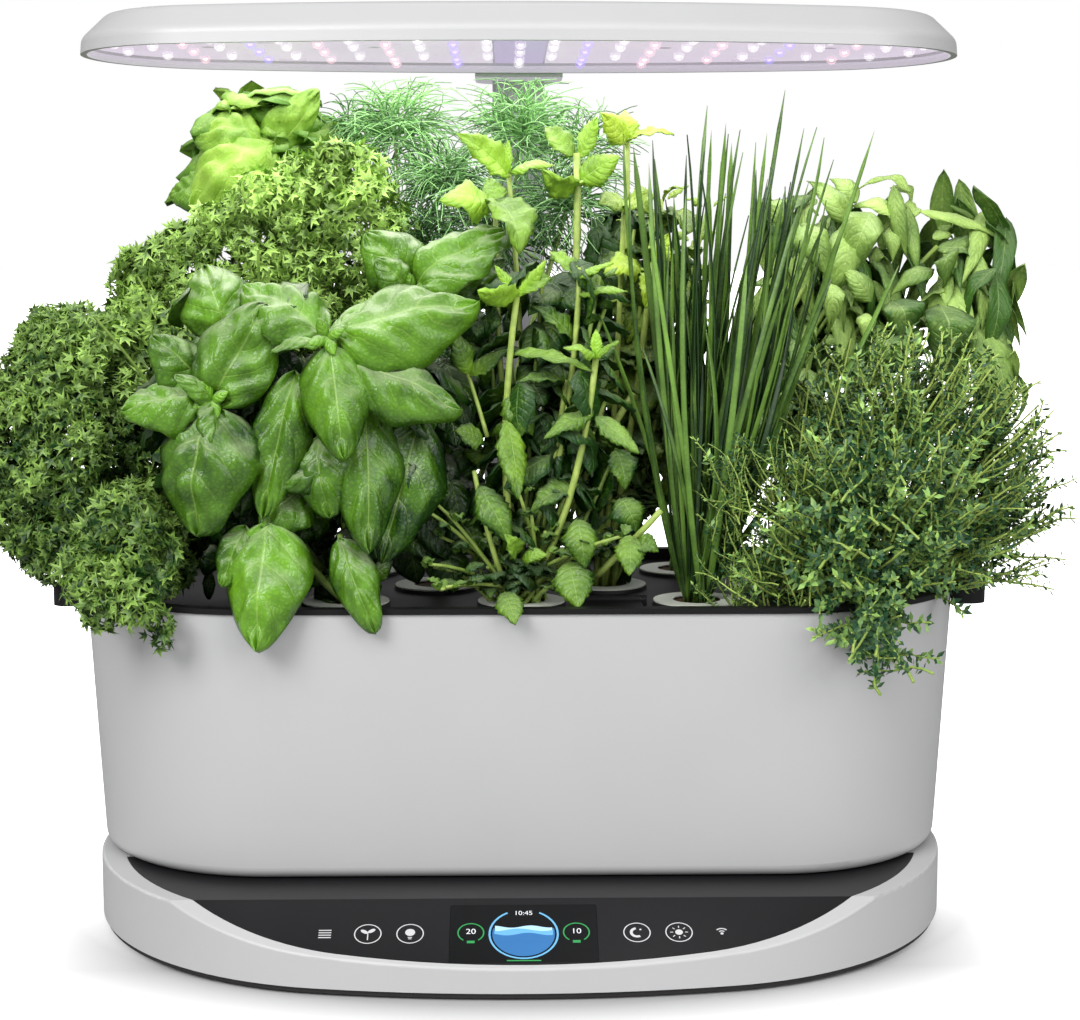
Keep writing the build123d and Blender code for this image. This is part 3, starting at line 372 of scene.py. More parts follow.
def lens_finish():
    """Clear cover: barely there, with a faint sheen and a painted glow for the LEDs' light in it."""
    material, tree, shader = blank("lamp_clear")
    tone = tree.group(MOULDED)["Tone"]
    # Emission: painted glow for the LEDs' light in the cover.
    tree.feed(shader, {
        "Base Color": tree.blend(tone, shade(150, 142, 158), shade(160, 154, 166)),
        "Alpha": tree.scale(tone, 0.3, 0.7, 0.16, 0.26),
        "Emission Color": shade(232, 220, 238),
        "Emission Strength": 0.5,
        "Roughness": 0.25,
        "Specular IOR Level": 0.1,
    })
    return material


WHITE = moulded("white_moulding", shade(186, 186, 187), 0.4)
BOWL = moulded("pale_grey_bowl", shade(185, 185, 186), 0.45)
# The mast's own pale grey, raised and tinted lilac as painted light from the LEDs.
MAST = moulded("mast_grey", shade(204, 200, 208), 0.35)
# The hood's copy of the white is darker, as painted shade; its inner rim gets a painted glow for the LEDs' light.
HOOD = painted_glow(moulded("hood_white", shade(176, 176, 177), 0.4), rim_faces, shade(206, 196, 214), 0.55)
# The arm's copy of the white is paler and lilac, as painted light; its lower faces get a painted glow for light
# thrown back from below.
ARM = painted_glow(moulded("arm_white", shade(236, 232, 240), 0.4), lower_faces, shade(190, 184, 196), 0.5)
DARK = moulded("dark_plate", shade(30, 27, 27), 0.7)
RUBBER = moulded("foot_rubber", shade(38, 38, 38), 0.8, depth=0.1)
STEEL = moulded("screw_steel", shade(170, 170, 172), 0.3, metallic=1.0)
GLOSS = moulded("panel_gloss", shade(27, 27, 29), 0.3, depth=0.004, specular=0.2)
DECK = moulded("deck_black", shade(20, 20, 21), 0.5, depth=0.03, specular=0.2)
BASKET = moulded("basket_black", shade(40, 40, 42), 0.55)
PUMP = moulded("pump_black", shade(34, 34, 36), 0.5)
SOCKET = moulded("socket_black", shade(26, 26, 27), 0.45)
BOARD = moulded("circuit_board", shade(30, 92, 54), 0.45)
ALUMINIUM = moulded("spreader_aluminium", shade(196, 198, 200), 0.35, metallic=1.0, grain=300.0)
LABEL = moulded("label_pale", shade(214, 218, 206), 0.6)
IMPELLER = moulded("impeller_white", shade(225, 225, 225), 0.4)
FOAM = moulded("float_foam", shade(236, 236, 232), 0.85, depth=0.3, grain=500.0)
SPONGE = moulded("growing_sponge", shade(92, 66, 44), 0.95, depth=0.8, contrast=0.4, grain=260.0)
SCREEN = moulded("screen_glass", shade(8, 9, 11), 0.35, depth=0.002, specular=0.2)
LIT = lit_board()

finishes = {
    "base_shell": WHITE, "base_bottom_cover": DARK, "rubber_feet": RUBBER, "bottom_screws": STEEL,
    "control_panel": GLOSS, "display_screen": SCREEN, "control_board": BOARD, "power_inlet": SOCKET,
    "mast_housing": WHITE, "mast_outer": MAST, "mast_outer_collar": WHITE, "mast_middle": MAST,
    "mast_middle_collar": WHITE, "mast_inner": MAST, "lamp_arm": ARM, "lamp_hood": HOOD,
    "heat_spreader": ALUMINIUM, "led_board": LIT, "leds": LIT, "lamp_lens": lens_finish(),
    "lamp_screws": STEEL, "water_bowl": BOWL, "grow_deck": DECK, "fill_lid": DECK, "fill_lid_pin": STEEL,
    "float_post": BOWL, "level_float": FOAM, "pump_filter": PUMP, "pump_cover": PUMP, "pump_body": PUMP,
    "pump_impeller": IMPELLER, "pump_riser": PUMP, "pod_labels": LABEL, "basket": BASKET, "sponge": SPONGE,
}
for name, node in nodes.items():
    finish = finishes.get(name, finishes.get(name.split("_")[0]))
    if finish is not None:
        node.data.materials.clear()
        node.data.materials.append(finish)

BASIL = leafy("basil_leaf", shade(20, 54, 6), shade(122, 180, 40), shade(176, 208, 110), 0.34, 4.0, 0.42)
BASIL_BACK = leafy("back_basil_leaf", shade(82, 130, 26), shade(164, 206, 74), shade(190, 214, 120), 0.5, 4.0,
                   0.15)
MINT = leafy("mint_leaf", shade(26, 68, 8), shade(156, 204, 56), shade(164, 200, 116), 0.45, 7.0, 0.15)
BALM = leafy("balm_leaf", shade(34, 72, 14), shade(176, 210, 56), shade(190, 212, 110), 0.5, 7.0, 0.15)
THAI = leafy("thai_basil_leaf", shade(56, 98, 22), shade(190, 226, 116), shade(208, 228, 150), 0.5, 8.0, 0.2,
             slant=2.2)
CHIVES = leafy("chive_blade", shade(24, 54, 14), shade(122, 164, 66), shade(70, 120, 50), 0.4, 1.0, 0.0,
               slant=0.0, width=0.01, puff=0.1)
PARSLEY = fine_leaf("parsley_leaf", shade(14, 58, 6), shade(180, 222, 104), 0.5)
DILL = fine_leaf("dill_thread", shade(52, 92, 42), shade(166, 222, 138), 0.5)
THYME = fine_leaf("thyme_leaf", shade(24, 70, 38), shade(176, 220, 110), 0.5)
STALK = fine_leaf("green_stalk", shade(84, 124, 44), shade(184, 204, 104), 0.45)


# ---- leaves and stalks -----------------------------------------------------------------------
def leaf(name, rows, columns, taper, blunt, hump, cup, quilt=0.0, pairs=5, wave=0.0, waves=3.0,
         teeth=0, fold=0.0, curl=0.0, crumple=0.0, seed=0):
    """One leaf along +Y, a unit long and wide, its face towards +Z: cupped, pillowed and waved."""
    shape = bmesh.new()
    shape.loops.layers.uv.new("UVMap")
    bmesh.ops.create_grid(shape, x_segments=columns, y_segments=rows, size=0.5, calc_uvs=True)
    for vert in shape.verts:
        across = vert.co.x * 2
        along = vert.co.y + 0.5
        half = 0.5 * max(0.0, sin(pi * min(1.0, along) ** taper)) ** blunt
        half *= 1 + crumple * noise.noise(Vector((seed + 3 * (across > 0), along * 3.5, 1)))
        if teeth and abs(across) > 0.99:
            half *= 1 - 0.3 * ((along * teeth) % 1)
        pocket = abs((along * pairs - abs(across) ** 1.4 * 1.5) % 1 - 0.5) * 2
        rise = hump * 4 * along * (1 - along) - cup * half * across**2 + fold * half * abs(across)
        rise += quilt * (1 - pocket**2) * min(1.0, 4 * abs(across)) * min(1.0, 4 * (1 - abs(across)))
        rise += wave * sin(2 * pi * waves * along + across + seed) * across**2 * min(1.0, 6 * along * (1 - along))
        rise += crumple * 0.7 * noise.noise(Vector((across * 1.3 + seed, along * 2.6, seed * 0.37)))
        rise += crumple * 0.35 * noise.noise(Vector((across * 3.1, along * 6.5 + seed, seed * 0.7)))
        rise -= curl * along**3
        vert.co = Vector((across * half, along, rise))
    bmesh.ops.remove_doubles(shape, verts=shape.verts, dist=0.002)
    mesh = mesh_of(name, shape)
    mesh.attributes.new("tint", "FLOAT", "POINT")
    mesh.shade_smooth()
    return mesh


class Foliage:
    """Leaves and stalks of one plant gathered in one mesh."""

    def __init__(self):
        self.mesh = bmesh.new()
        self.mesh.verts.layers.float.new("tint")
        self.mesh.loops.layers.uv.new("UVMap")

    def put(self, shape, place, tint, material=0):
        """Copy of a shape at a place, with its own tints shifted."""
        part = shape.copy()
        part.transform(place)
        own = [0.0] * len(part.vertices)
        part.attributes["tint"].data.foreach_get("value", own)
        part.attributes["tint"].data.foreach_set("value", [held(value + tint) for value in own])
        if material:
            part.polygons.foreach_set("material_index", [material] * len(part.polygons))
        self.mesh.from_mesh(part, face_normals=False, vertex_normals=False)
        bpy.data.meshes.remove(part)

    def put_upright(self, shape, spot, outward, turn, size, tint):
        """Tuft or sprig on a spot, its top outwards."""
        place = (outward.to_track_quat("Z", "Y").to_matrix() @ Matrix.Rotation(turn, 3, "Z") * size).to_4x4()
        place.translation = spot
        self.put(shape, place, tint)

    def leaf(self, shape, base, tip, width, tint, facing, roll=0.0):
        """Leaf between two points, its face turned towards a direction and rolled by degrees."""
        along = tip - base
        length = along.length
        along.normalize()
        face = Vector(facing)
        face = face - along * face.dot(along)
        if face.length < 0.05:
            face = along.orthogonal()
        face.normalize()
        face.rotate(Matrix.Rotation(radians(roll), 3, along))
        side = along.cross(face)
        place = Matrix((side * width * MM, along * length, face * width * MM)).transposed().to_4x4()
        place.translation = base
        self.put(shape, place, tint)

    def leaves(self, shapes, rows):
        """Main leaves by their base, tip, width, tint and facing, in millimetres, of each shape in turn."""
        for index, (base, tip, *look) in enumerate(rows):
            self.leaf(shapes[index % len(shapes)], at(*base), at(*tip), *look)

    def stalks(self, lines, sides, tint, material=1):
        """Round stalks, each a list of (point, radius in millimetres)."""
        curve = bpy.data.curves.new("stalks", "CURVE")
        curve.dimensions = "3D"
        curve.bevel_depth = 1.0
        curve.bevel_resolution = sides
        curve.use_fill_caps = True
        for line in lines:
            spline = curve.splines.new("POLY")
            spline.points.add(len(line) - 1)
            for point, (place, radius) in zip(spline.points, line):
                point.co = (*place, 1.0)
                point.radius = radius * MM
        holder = bpy.data.objects.new("stalks", curve)
        mesh = bpy.data.meshes.new_from_object(holder)
        bpy.data.objects.remove(holder)
        bpy.data.curves.remove(curve)
        mesh.attributes.new("tint", "FLOAT", "POINT")
        mesh.shade_smooth()
        self.put(mesh, Matrix.Identity(4), tint, material)
        bpy.data.meshes.remove(mesh)

    def stems(self, root, rows, sides, tint):
        """Stalks by their points, steps and radii; they start at the root unless three points are given."""
        lines = [arc(([root] + [at(*point) for point in points])[-3:], *bend) for points, *bend in rows]
        self.stalks(lines, sides, tint)

    def finish(self, name, node, slot, materials, thick=0.0):
        """Piece that stands for its CAD plant and rides with the bowl."""
        piece = object_of(name, self.mesh, materials)
        if thick:
            wall = piece.modifiers.new("thickness", "SOLIDIFY")
            wall.thickness = thick * MM
            wall.offset = 0.0
        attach(piece, "bowl_unit")
        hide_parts(node)


def between(start, end, share):
    return start + (end - start) * share


def arc(points, count, low, high):
    """Stalk line through three points, with its radius from low to high."""
    first, middle, last = points
    line = []
    for step in range(count + 1):
        share = step / count
        place = first * (1 - share) ** 2 + middle * 2 * share * (1 - share) + last * share**2
        line.append((place, low + (high - low) * share))
    return line


def along_line(line, share):
    """Point at a share of a stalk line."""
    position = share * (len(line) - 1)
    low = min(int(position), len(line) - 2)
    return between(line[low][0], line[low + 1][0], position - low)


def surface_spots(node, count, apart, seed, lowest=-0.6):
    """Evenly spread spots on a CAD plant's surface with their outward directions."""
    draw = Random(seed)
    mesh = nodes[node].data
    mesh.calc_loop_triangles()
    triangles = [[mesh.vertices[v].co.copy() for v in t.vertices] for t in mesh.loop_triangles]
    areas = [t.area for t in mesh.loop_triangles]
    spots = []
    tries = draw.choices(range(len(triangles)), weights=areas, k=count * 14)
    for index in tries:
        a, b, c = triangles[index]
        normal = (b - a).cross(c - a).normalized()
        p, q = draw.random(), draw.random()
        if p + q > 1:
            p, q = 1 - p, 1 - q
        place = a + (b - a) * p + (c - a) * q
        if normal.z < lowest:
            continue
        if all((place - other).length > apart * MM for other, _ in spots):
            spots.append((place, normal))
            if len(spots) == count:
                break
    return spots


def cover(plant, node, shapes, count, apart, seed, length, share, tints, droop, inset, front, lowest=-0.6,
          top=1.0, bottom=0.0):
    """Leaves all over a CAD plant's surface, their tips at the surface; front ones lie deeper."""
    draw = Random(seed)
    for spot, outward in surface_spots(node, count, apart, seed, lowest):
        if not bottom < spot.z < top:
            continue
        reach = length * draw.uniform(0.75, 1.2)
        lean = Vector((draw.uniform(-0.7, 0.7), draw.uniform(-0.7, 0.7), draw.uniform(-0.5, 0.3) - droop))
        way = (outward * 0.7 + lean).normalized()
        depth = inset + front * max(0.0, -outward.y)
        tip = spot - outward * depth * MM + way * reach * 0.35 * MM
        # Leaves that look up get higher tints: painted light from above.
        tint = draw.uniform(*tints) + 0.15 * outward.z
        plant.leaf(draw.choice(shapes), tip - way * reach * MM, tip, reach * share * draw.uniform(0.85, 1.15),
                   held(tint), outward + Vector((0, 0, 0.6)), draw.uniform(-25, 25))


def fill(plant, draw, shapes, count, box, step, widths, deepest, facing):
    """Leaves that start at random places in a box and reach on by a random step."""
    for _ in range(count):
        base = at(*drawn(draw, *box))
        tip = base + Vector(drawn(draw, *step)) * MM
        plant.leaf(draw.choice(shapes), base, tip, draw.uniform(*widths), draw.uniform(0.0, deepest), facing)


def stem_with_pairs(plant, shapes, line, gap, size, spread, droop, tints, seed):
    """Leaf pairs at the joints of a stem, each pair turned a quarter from the last."""
    draw = Random(seed)
    total = sum((line[i + 1][0] - line[i][0]).length for i in range(len(line) - 1))
    joints = max(2, int(total / (gap * MM)))
    for joint in range(1, joints + 1):
        share = joint / joints
        place = along_line(line, share)
        reach = size * (1.1 - 0.55 * share) * draw.uniform(0.75, 1.15)
        turn = joint * pi / 2 + draw.uniform(-0.5, 0.5)
        for side in (0, pi):
            flat = Vector((cos(turn + side), sin(turn + side), 0))
            lift = Vector((0, 0, (0.25 + 0.5 * share - droop) * reach * MM))
            tint = tints[0] + (tints[1] - tints[0]) * share + draw.uniform(-0.1, 0.1)
            plant.leaf(draw.choice(shapes), place + flat * 0.003, place + flat * reach * spread * MM + lift,
                       reach * draw.uniform(0.55, 0.7), held(tint), (flat.x * 0.2, -0.25, 1),
                       draw.uniform(-20, 20))


def side_stems(plant, draw, root, count, foot, head, bend, steps, radii, tint, shapes, pairs, seed):
    """Random stems from a pod, with pairs of leaves at their joints."""
    for index in range(count):
        start = root + Vector(drawn(draw, *foot)) * MM
        end = at(*drawn(draw, *head))
        middle = between(start, end, 0.5) + Vector(drawn(draw, *bend)) * MM
        line = arc((start, middle, end), steps, *radii)
        plant.stalks([line], 1, tint)
        stem_with_pairs(plant, shapes, line, *pairs, seed + index)


# ---- front basil -----------------------------------------------------------------------------
broad = [
    leaf("broad_leaf_a", rows=28, columns=16, taper=0.75, blunt=0.66, hump=0.12, cup=0.4, quilt=0.085,
         pairs=4, wave=0.04, curl=0.12, crumple=0.16, seed=1),
    leaf("broad_leaf_b", rows=28, columns=16, taper=0.8, blunt=0.56, hump=0.2, cup=0.5, quilt=0.1, pairs=4,
         wave=0.05, waves=2.5, curl=0.25, crumple=0.18, seed=2),
    leaf("broad_leaf_c", rows=28, columns=16, taper=0.72, blunt=0.7, hump=0.1, cup=0.5, quilt=0.08, pairs=4,
         wave=0.05, waves=2.0, fold=-0.1, crumple=0.16, seed=3),
    leaf("broad_leaf_d", rows=28, columns=16, taper=0.78, blunt=0.58, hump=0.18, cup=0.45, quilt=0.1,
         pairs=4, wave=0.05, waves=3.0, curl=0.2, crumple=0.22, seed=5),
]
filler = [
    leaf("filler_leaf_a", rows=10, columns=6, taper=0.76, blunt=0.7, hump=0.15, cup=0.5, quilt=0.05,
         pairs=4, wave=0.04, crumple=0.14, seed=7),
    leaf("filler_leaf_b", rows=10, columns=6, taper=0.72, blunt=0.65, hump=0.2, cup=0.6, quilt=0.06,
         pairs=4, wave=0.05, waves=2.0, crumple=0.18, seed=9),
]
plain = [
    leaf("plain_leaf_a", rows=8, columns=4, taper=0.72, blunt=0.8, hump=0.12, cup=0.3, quilt=0.05, pairs=4,
         wave=0.05, crumple=0.12, seed=14),
    leaf("plain_leaf_b", rows=8, columns=4, taper=0.7, blunt=0.75, hump=0.2, cup=0.4, quilt=0.05, pairs=4,
         wave=0.07, fold=0.2, crumple=0.15, seed=15),
]
small = leaf("small_leaf", rows=8, columns=6, taper=0.8, blunt=0.9, hump=0.12, cup=0.6)

# Each row: which broad leaf, base, tip, width, tint, facing and, where it isn't nothing, roll.
FRONT_LEAVES = (
    (0, (-88, -92, 286), (-126, -80, 309), 34, 0.72, (-0.1, -0.5, 0.9)),
    (1, (-84, -92, 287), (-19, -86, 300), 43, 0.78, (0.1, -0.75, 0.7), 8),
    (0, (-86, -96, 282), (-79, -112, 232), 31, 0.66, (0, -0.9, 0.6)),
    (2, (-90, -96, 283), (-111, -104, 282), 11, 0.8, (0, -0.7, 0.8), 30),
    (2, (-86, -95, 287), (-70, -82, 297), 12, 0.8, (0, -0.6, 0.8)),
    (1, (-78, -92, 274), (-27, -100, 252), 34, 0.5, (0.2, -0.9, 0.5), -8),
    (0, (-71, -86, 257), (-69, -104, 189), 33, 0.45, (0.05, -1, 0.3), -6),
    (1, (-47, -76, 247), (-64, -93, 183), 36, 0.3, (0.35, -1, 0.2), 12),
    (1, (-92, -88, 240), (-88, -101, 206), 26, 0.42, (0, -1, 0.4), 10),
    (2, (-88, -90, 228), (-109, -100, 221), 20, 0.42, (0, -1, 0.3)),
    (1, (-102, -88, 270), (-117, -103, 205), 24, 0.5, (-0.5, -0.9, 0.3), -25),
    (0, (-140, -90, 255), (-114, -97, 300), 36, 0.62, (0.15, -0.95, 0.4)),
    (1, (-132, -80, 284), (-146, -70, 319), 32, 0.72, (-0.2, -0.7, 0.7)),
    (1, (-143, -88, 264), (-166, -92, 286), 26, 0.6, (-0.3, -0.8, 0.6), 10),
    (1, (-142, -92, 257), (-179, -99, 255), 29, 0.66, (-0.3, -0.8, 0.7)),
    (2, (-138, -96, 256), (-152, -106, 270), 11, 0.6, (-0.2, -0.9, 0.5), 30),
    (2, (-138, -98, 256), (-137, -109, 237), 14, 0.6, (0.3, -0.9, 0.4), -25),
    (0, (-136, -92, 254), (-149, -109, 200), 45, 0.5, (-0.2, -1, 0.4), 4),
    (0, (-115, -94, 202), (-119, -112, 146), 39, 0.84, (-0.1, -1, 0.25), 4),
    (1, (-125, -92, 200), (-136, -101, 174), 18, 0.5, (-0.6, -0.8, 0.2), -20),
    (1, (-83, -90, 194), (-67, -107, 154), 20, 0.6, (0.1, -1, 0.3), 10),
    (1, (-100, -82, 216), (-118, -95, 199), 26, 0.36, (-0.1, -0.9, 0.5)),
    (1, (-52, -58, 304), (-8, -50, 336), 34, 0.7, (-0.25, -0.8, 0.55), -6),
    (1, (-48, -54, 308), (-72, -56, 332), 30, 0.66, (-0.3, -0.8, 0.6)),
    (0, (-53, -62, 306), (-66, -67, 320), 17, 0.6, (0, -0.9, 0.5)),
    (1, (-34, -54, 302), (-8, -42, 320), 28, 0.35, (0.3, -0.9, 0.3), 10),
)
basil = Foliage()
for index, (kind, base, tip, width, tint, *aim) in enumerate(FRONT_LEAVES):
    shape = broad[(kind + index) % len(broad)]
    basil.leaf(shape, at(*base), at(*tip), width * 1.04, tint * 0.8, *aim)
# Filler leaves under and behind the main leaves carry low tints: painted shade.
cover(basil, "plant_basil_front", filler, 130, apart=12, seed=3, length=42, share=0.66, tints=(0.0, 0.25),
      droop=0.4, inset=2.0, front=34.0, lowest=-0.9, top=0.262, bottom=0.2)
cover(basil, "plant_basil_front", plain, 90, apart=11, seed=4, length=30, share=0.62, tints=(0.2, 0.5),
      droop=0.2, inset=9.0, front=16.0, lowest=-0.4, top=0.302, bottom=0.262)
basil.stems(pod(-2, -1), (
    (((-80, -70, 230), (-87, -93, 284)), 8, 2.2, 1.5),
    (((-120, -64, 210), (-139, -91, 254)), 8, 2.2, 1.5),
    (((-100, -78, 180), (-115, -93, 203)), 8, 2.0, 1.4),
    (((-60, -50, 230), (-50, -56, 305)), 8, 2.2, 1.4),
    (((-80, -66, 170), (-83, -88, 195)), 8, 1.6, 1.2),
), 2, 0.3)
for place in ((-87, -98, 286), (-139, -98, 258), (-50, -60, 306)):
    for turn in range(4):
        angle = turn * pi / 2 + 0.4
        tip = at(*place) + Vector((cos(angle), -0.4, sin(angle))) * 0.009
        basil.leaf(small, at(*place), tip, 6, 0.8, (0, -1, 0.5))
# Fill leaves in the gaps carry low tints: painted shade for the dark inside of the plant.
draw = Random(13)
fill(basil, draw, filler, 34, ((-60, -30), (-54, -34), (186, 282)), ((4, 16), (-10, 4), (-30, -12)),
     (17, 24), 0.2, (0.2, -1, 0.3))
fill(basil, draw, filler, 30, ((-128, -56), (-66, -44), (176, 214)), ((-12, 12), (-16, 0), (-20, 6)),
     (15, 22), 0.25, (0, -1, 0.4))
fill(basil, draw, filler, 56, ((-152, -66), (-60, -34), (162, 208)), ((-12, 12), (-8, 4), (-8, 10)),
     (14, 20), 0.2, (0, -1, 0.2))
basil.finish("basil_front_leaves", "plant_basil_front", "leaf_basil", (BASIL, STALK), 0.35)

# ---- mint and lemon balm ---------------------------------------------------------------------
toothed = [
    leaf("toothed_leaf_a", rows=18, columns=6, taper=0.72, blunt=0.85, hump=0.12, cup=0.25, quilt=0.05,
         pairs=7, wave=0.05, teeth=9, fold=0.1, crumple=0.1, seed=11),
    leaf("toothed_leaf_b", rows=18, columns=6, taper=0.68, blunt=0.8, hump=0.25, cup=0.1, quilt=0.06,
         pairs=7, wave=0.08, teeth=9, fold=0.35, crumple=0.12, seed=12),
    leaf("toothed_leaf_c", rows=18, columns=6, taper=0.75, blunt=0.9, hump=0.2, cup=0.4, quilt=0.05,
         pairs=7, wave=0.07, waves=2.0, teeth=9, curl=0.25, crumple=0.12, seed=13),
]

# Each row: base, tip, width, tint and facing.
MINT_LEAVES = (
    ((-2, -70, 303), (-20, -86, 306), 18, 1.0, (0, -0.6, -0.6)),
    ((-1, -70, 304), (14, -64, 311), 13, 0.6, (0, -0.7, 0.7)),
    ((-2, -71, 303), (12, -70, 319), 8, 0.95, (0.5, -0.9, 0)),
    ((-2, -72, 303), (-12, -64, 317), 7, 0.9, (-0.5, -0.9, 0)),
    ((-4, -68, 276), (32, -80, 269), 11, 0.5, (0, -0.4, 0.9)),
    ((-7, -66, 259), (6, -70, 240), 18, 0.3, (0.3, -1, 0.2)),
    ((-7, -72, 246), (-2, -86, 211), 16, 0.45, (0.5, -1, 0)),
    ((24, -60, 282), (5, -62, 298), 13, 0.35, (0, -0.6, 0.8)),
    ((26, -62, 303), (48, -70, 307), 9, 0.6, (0, -0.4, 0.9)),
    ((26, -62, 311), (42, -73, 318), 10, 0.8, (0, -0.5, 0.9)),
    ((26, -62, 311), (13, -56, 323), 10, 0.7, (0, -0.6, 0.8)),
    ((34, -78, 275), (20, -89, 282), 10, 0.75, (0, -0.5, 0.8)),
    ((34, -78, 275), (44, -88, 283), 10, 0.7, (0, -0.5, 0.8)),
    ((34, -77, 276), (34, -74, 288), 6, 0.9, (0, -1, 0)),
    ((33, -74, 250), (10, -87, 241), 12, 0.45, (0, -0.7, 0.8)),
    ((34, -74, 248), (53, -87, 232), 13, 0.42, (0.2, -0.7, 0.7)),
    ((20, -64, 263), (-1, -72, 264), 10, 0.35, (0, -0.5, 0.8)),
    ((-20, -74, 216), (-5, -84, 191), 17, 0.25, (0, -1, 0.4)),
    ((-18, -72, 237), (-31, -81, 242), 15, 0.35, (0, -0.8, 0.6)),
    ((26, -60, 215), (4, -75, 204), 15, 0.3, (0, -0.7, 0.8)),
    ((26, -72, 200), (29, -84, 180), 18, 0.35, (0, -1, 0.2)),
    ((22, -72, 180), (26, -86, 160), 21, 0.4, (0, -1, 0.3)),
    ((-3, -74, 184), (-8, -85, 195), 11, 0.5, (0, -0.9, 0.5)),
    ((0, -74, 182), (10, -83, 186), 10, 0.5, (0, -0.8, 0.6)),
    ((-8, -86, 168), (-3, -108, 157), 14, 0.4, (0, -0.8, 0.6)),
    ((44, -60, 231), (48, -67, 213), 15, 0.2, (0.3, -1, 0.2)),
    ((46, -60, 208), (54, -68, 195), 19, 0.25, (0.2, -1, 0.3)),
    ((50, -76, 193), (49, -89, 176), 15, 0.5, (0.1, -1, 0.2)),
    ((53, -76, 190), (63, -81, 186), 11, 0.45, (0.1, -0.9, 0.4)),
    ((-25, -60, 267), (-31, -70, 287), 13, 0.4, (0, -0.8, 0.6)),
    ((-25, -60, 266), (-6, -60, 278), 11, 0.4, (0, -0.7, 0.8)),
    ((-6, -30, 359), (-30, -45, 378), 17, 0.95, (0.2, -0.9, 0.3)),
    ((-5, -30, 360), (15, -35, 366), 12, 0.75, (0, -0.4, 0.9)),
    ((-7, -30, 361), (-6, -27, 376), 6, 0.9, (0.3, -1, 0)),
    ((-13, -40, 346), (-1, -66, 322), 27, 0.55, (0.45, -0.7, 0.55)),
    ((-14, -40, 344), (-35, -54, 350), 23, 0.85, (-0.3, -0.8, 0.5)),
    ((-11, -40, 345), (-15, -30, 358), 13, 0.75, (0, -0.9, 0.4)),
    ((28, -20, 356), (10, -36, 362), 19, 0.8, (0, -0.5, -0.6)),
    ((28, -20, 356), (46, -26, 369), 17, 0.75, (0.1, -0.9, 0.3)),
    ((28, -20, 368), (37, -12, 388), 11, 0.95, (0.4, -1, 0)),
    ((25, -18, 368), (12, -8, 383), 13, 0.6, (0, -0.9, 0.4)),
)
mint = Foliage()
mint.leaves(toothed, MINT_LEAVES)
root = pod(0, -1)
mint.stems(root, (
    (((-10, -68, 174), (-18, -74, 200), (-22, -74, 223)), 6, 1.2, 1.0),
    (((-16, -66, 238), (-20, -62, 252), (-25, -60, 267)), 5, 1.0, 0.8),
    (((-14, -70, 220), (-2, -70, 304)), 12, 1.9, 1.5),
    (((24, -64, 230), (27, -62, 316)), 12, 1.6, 1.2),
    (((14, -58, 210), (21, -62, 264)), 8, 1.5, 1.3),
    (((26, -80, 200), (34, -77, 276)), 10, 1.6, 1.4),
    (((34, -68, 172), (50, -74, 188), (64, -79, 205)), 6, 1.6, 1.4),
    (((30, -40, 220), (54, -36, 256)), 10, 1.4, 1.6),
    (((4, -44, 260), (-6, -30, 362)), 12, 1.4, 1.1),
    (((30, -30, 260), (27, -20, 370)), 12, 1.6, 1.6),
    (((-12, -46, 260), (-12, -40, 346)), 12, 1.4, 1.2),
), 1, 0.7)
# Leaves deep in the mint carry low tints: painted shade.
draw = Random(21)
side_stems(mint, draw, root, 16, ((-6, 6), (-6, 6), 0), ((-20, 48), (-66, -30), (215, 320)),
           ((-8, 8), -6, -10), 10, (1.3, 0.8), 0.35, plain, (20, 20, 0.9, 0.35, (0.0, 0.25)), 0)
cover(mint, "plant_mint", plain, 130, apart=10, seed=22, length=28, share=0.66, tints=(0.0, 0.25),
      droop=0.5, inset=2.0, front=36.0, lowest=-0.9, top=0.31)
side_stems(mint, draw, root, 22, ((-14, 12), (-12, 8), 0), ((-48, 50), (-90, -40), (166, 214)),
           (0, 0, 8), 6, (1.1, 0.7), 0.5, toothed, (16, 17, 0.9, 0.4, (0.02, 0.34)), 300)
fill(mint, draw, plain, 60, ((-38, -6), (-44, -16), (190, 322)), ((-9, 9), (-12, 2), (-16, 4)),
     (11, 17), 0.25, (0, -1, 0.3))
for sides, heights, count in (((-36, -12), (194, 228), 26), ((14, 36), (270, 306), 18)):
    fill(mint, draw, plain, count, (sides, (-36, -14), heights), ((-9, 9), (-12, 2), (-14, 6)),
         (11, 16), 0.25, (0, -1, 0.3))
mint.finish("mint_leaves", "plant_mint", "leaf_mint", (MINT, STALK), 0.25)

BALM_LEAVES = (
    ((52, -6, 376), (38, -21, 389), 15, 1.0, (-0.3, -0.8, 0.4)),
    ((52, -6, 376), (74, -15, 379), 11, 0.9, (0, -0.4, 0.9)),
    ((52, -6, 376), (51, 1, 393), 13, 1.0, (0, -1, 0.3)),
    ((50, -20, 347), (37, -35, 345), 17, 0.5, (-0.2, -0.9, 0.4)),
    ((51, -20, 347), (62, -29, 341), 16, 0.5, (0.2, -0.9, 0.4)),
    ((57, -16, 316), (42, -31, 316), 18, 0.9, (0, -0.8, 0.5)),
    ((66, -14, 316), (72, -9, 332), 13, 1.0, (0.2, -1, 0)),
    ((66, -14, 314), (60, -24, 296), 16, 0.9, (0.1, -1, 0.3)),
)
balm = Foliage()
balm.leaves(toothed, BALM_LEAVES)
root = pod(1, 0)
balm.stems(root, (
    (((52, -6, 260), (52, -6, 378)), 12, 1.7, 1.3),
    (((54, -14, 230), (64, -18, 318)), 10, 1.6, 1.3),
    (((46, -16, 240), (50, -20, 348)), 12, 1.5, 1.2),
), 1, 0.8)
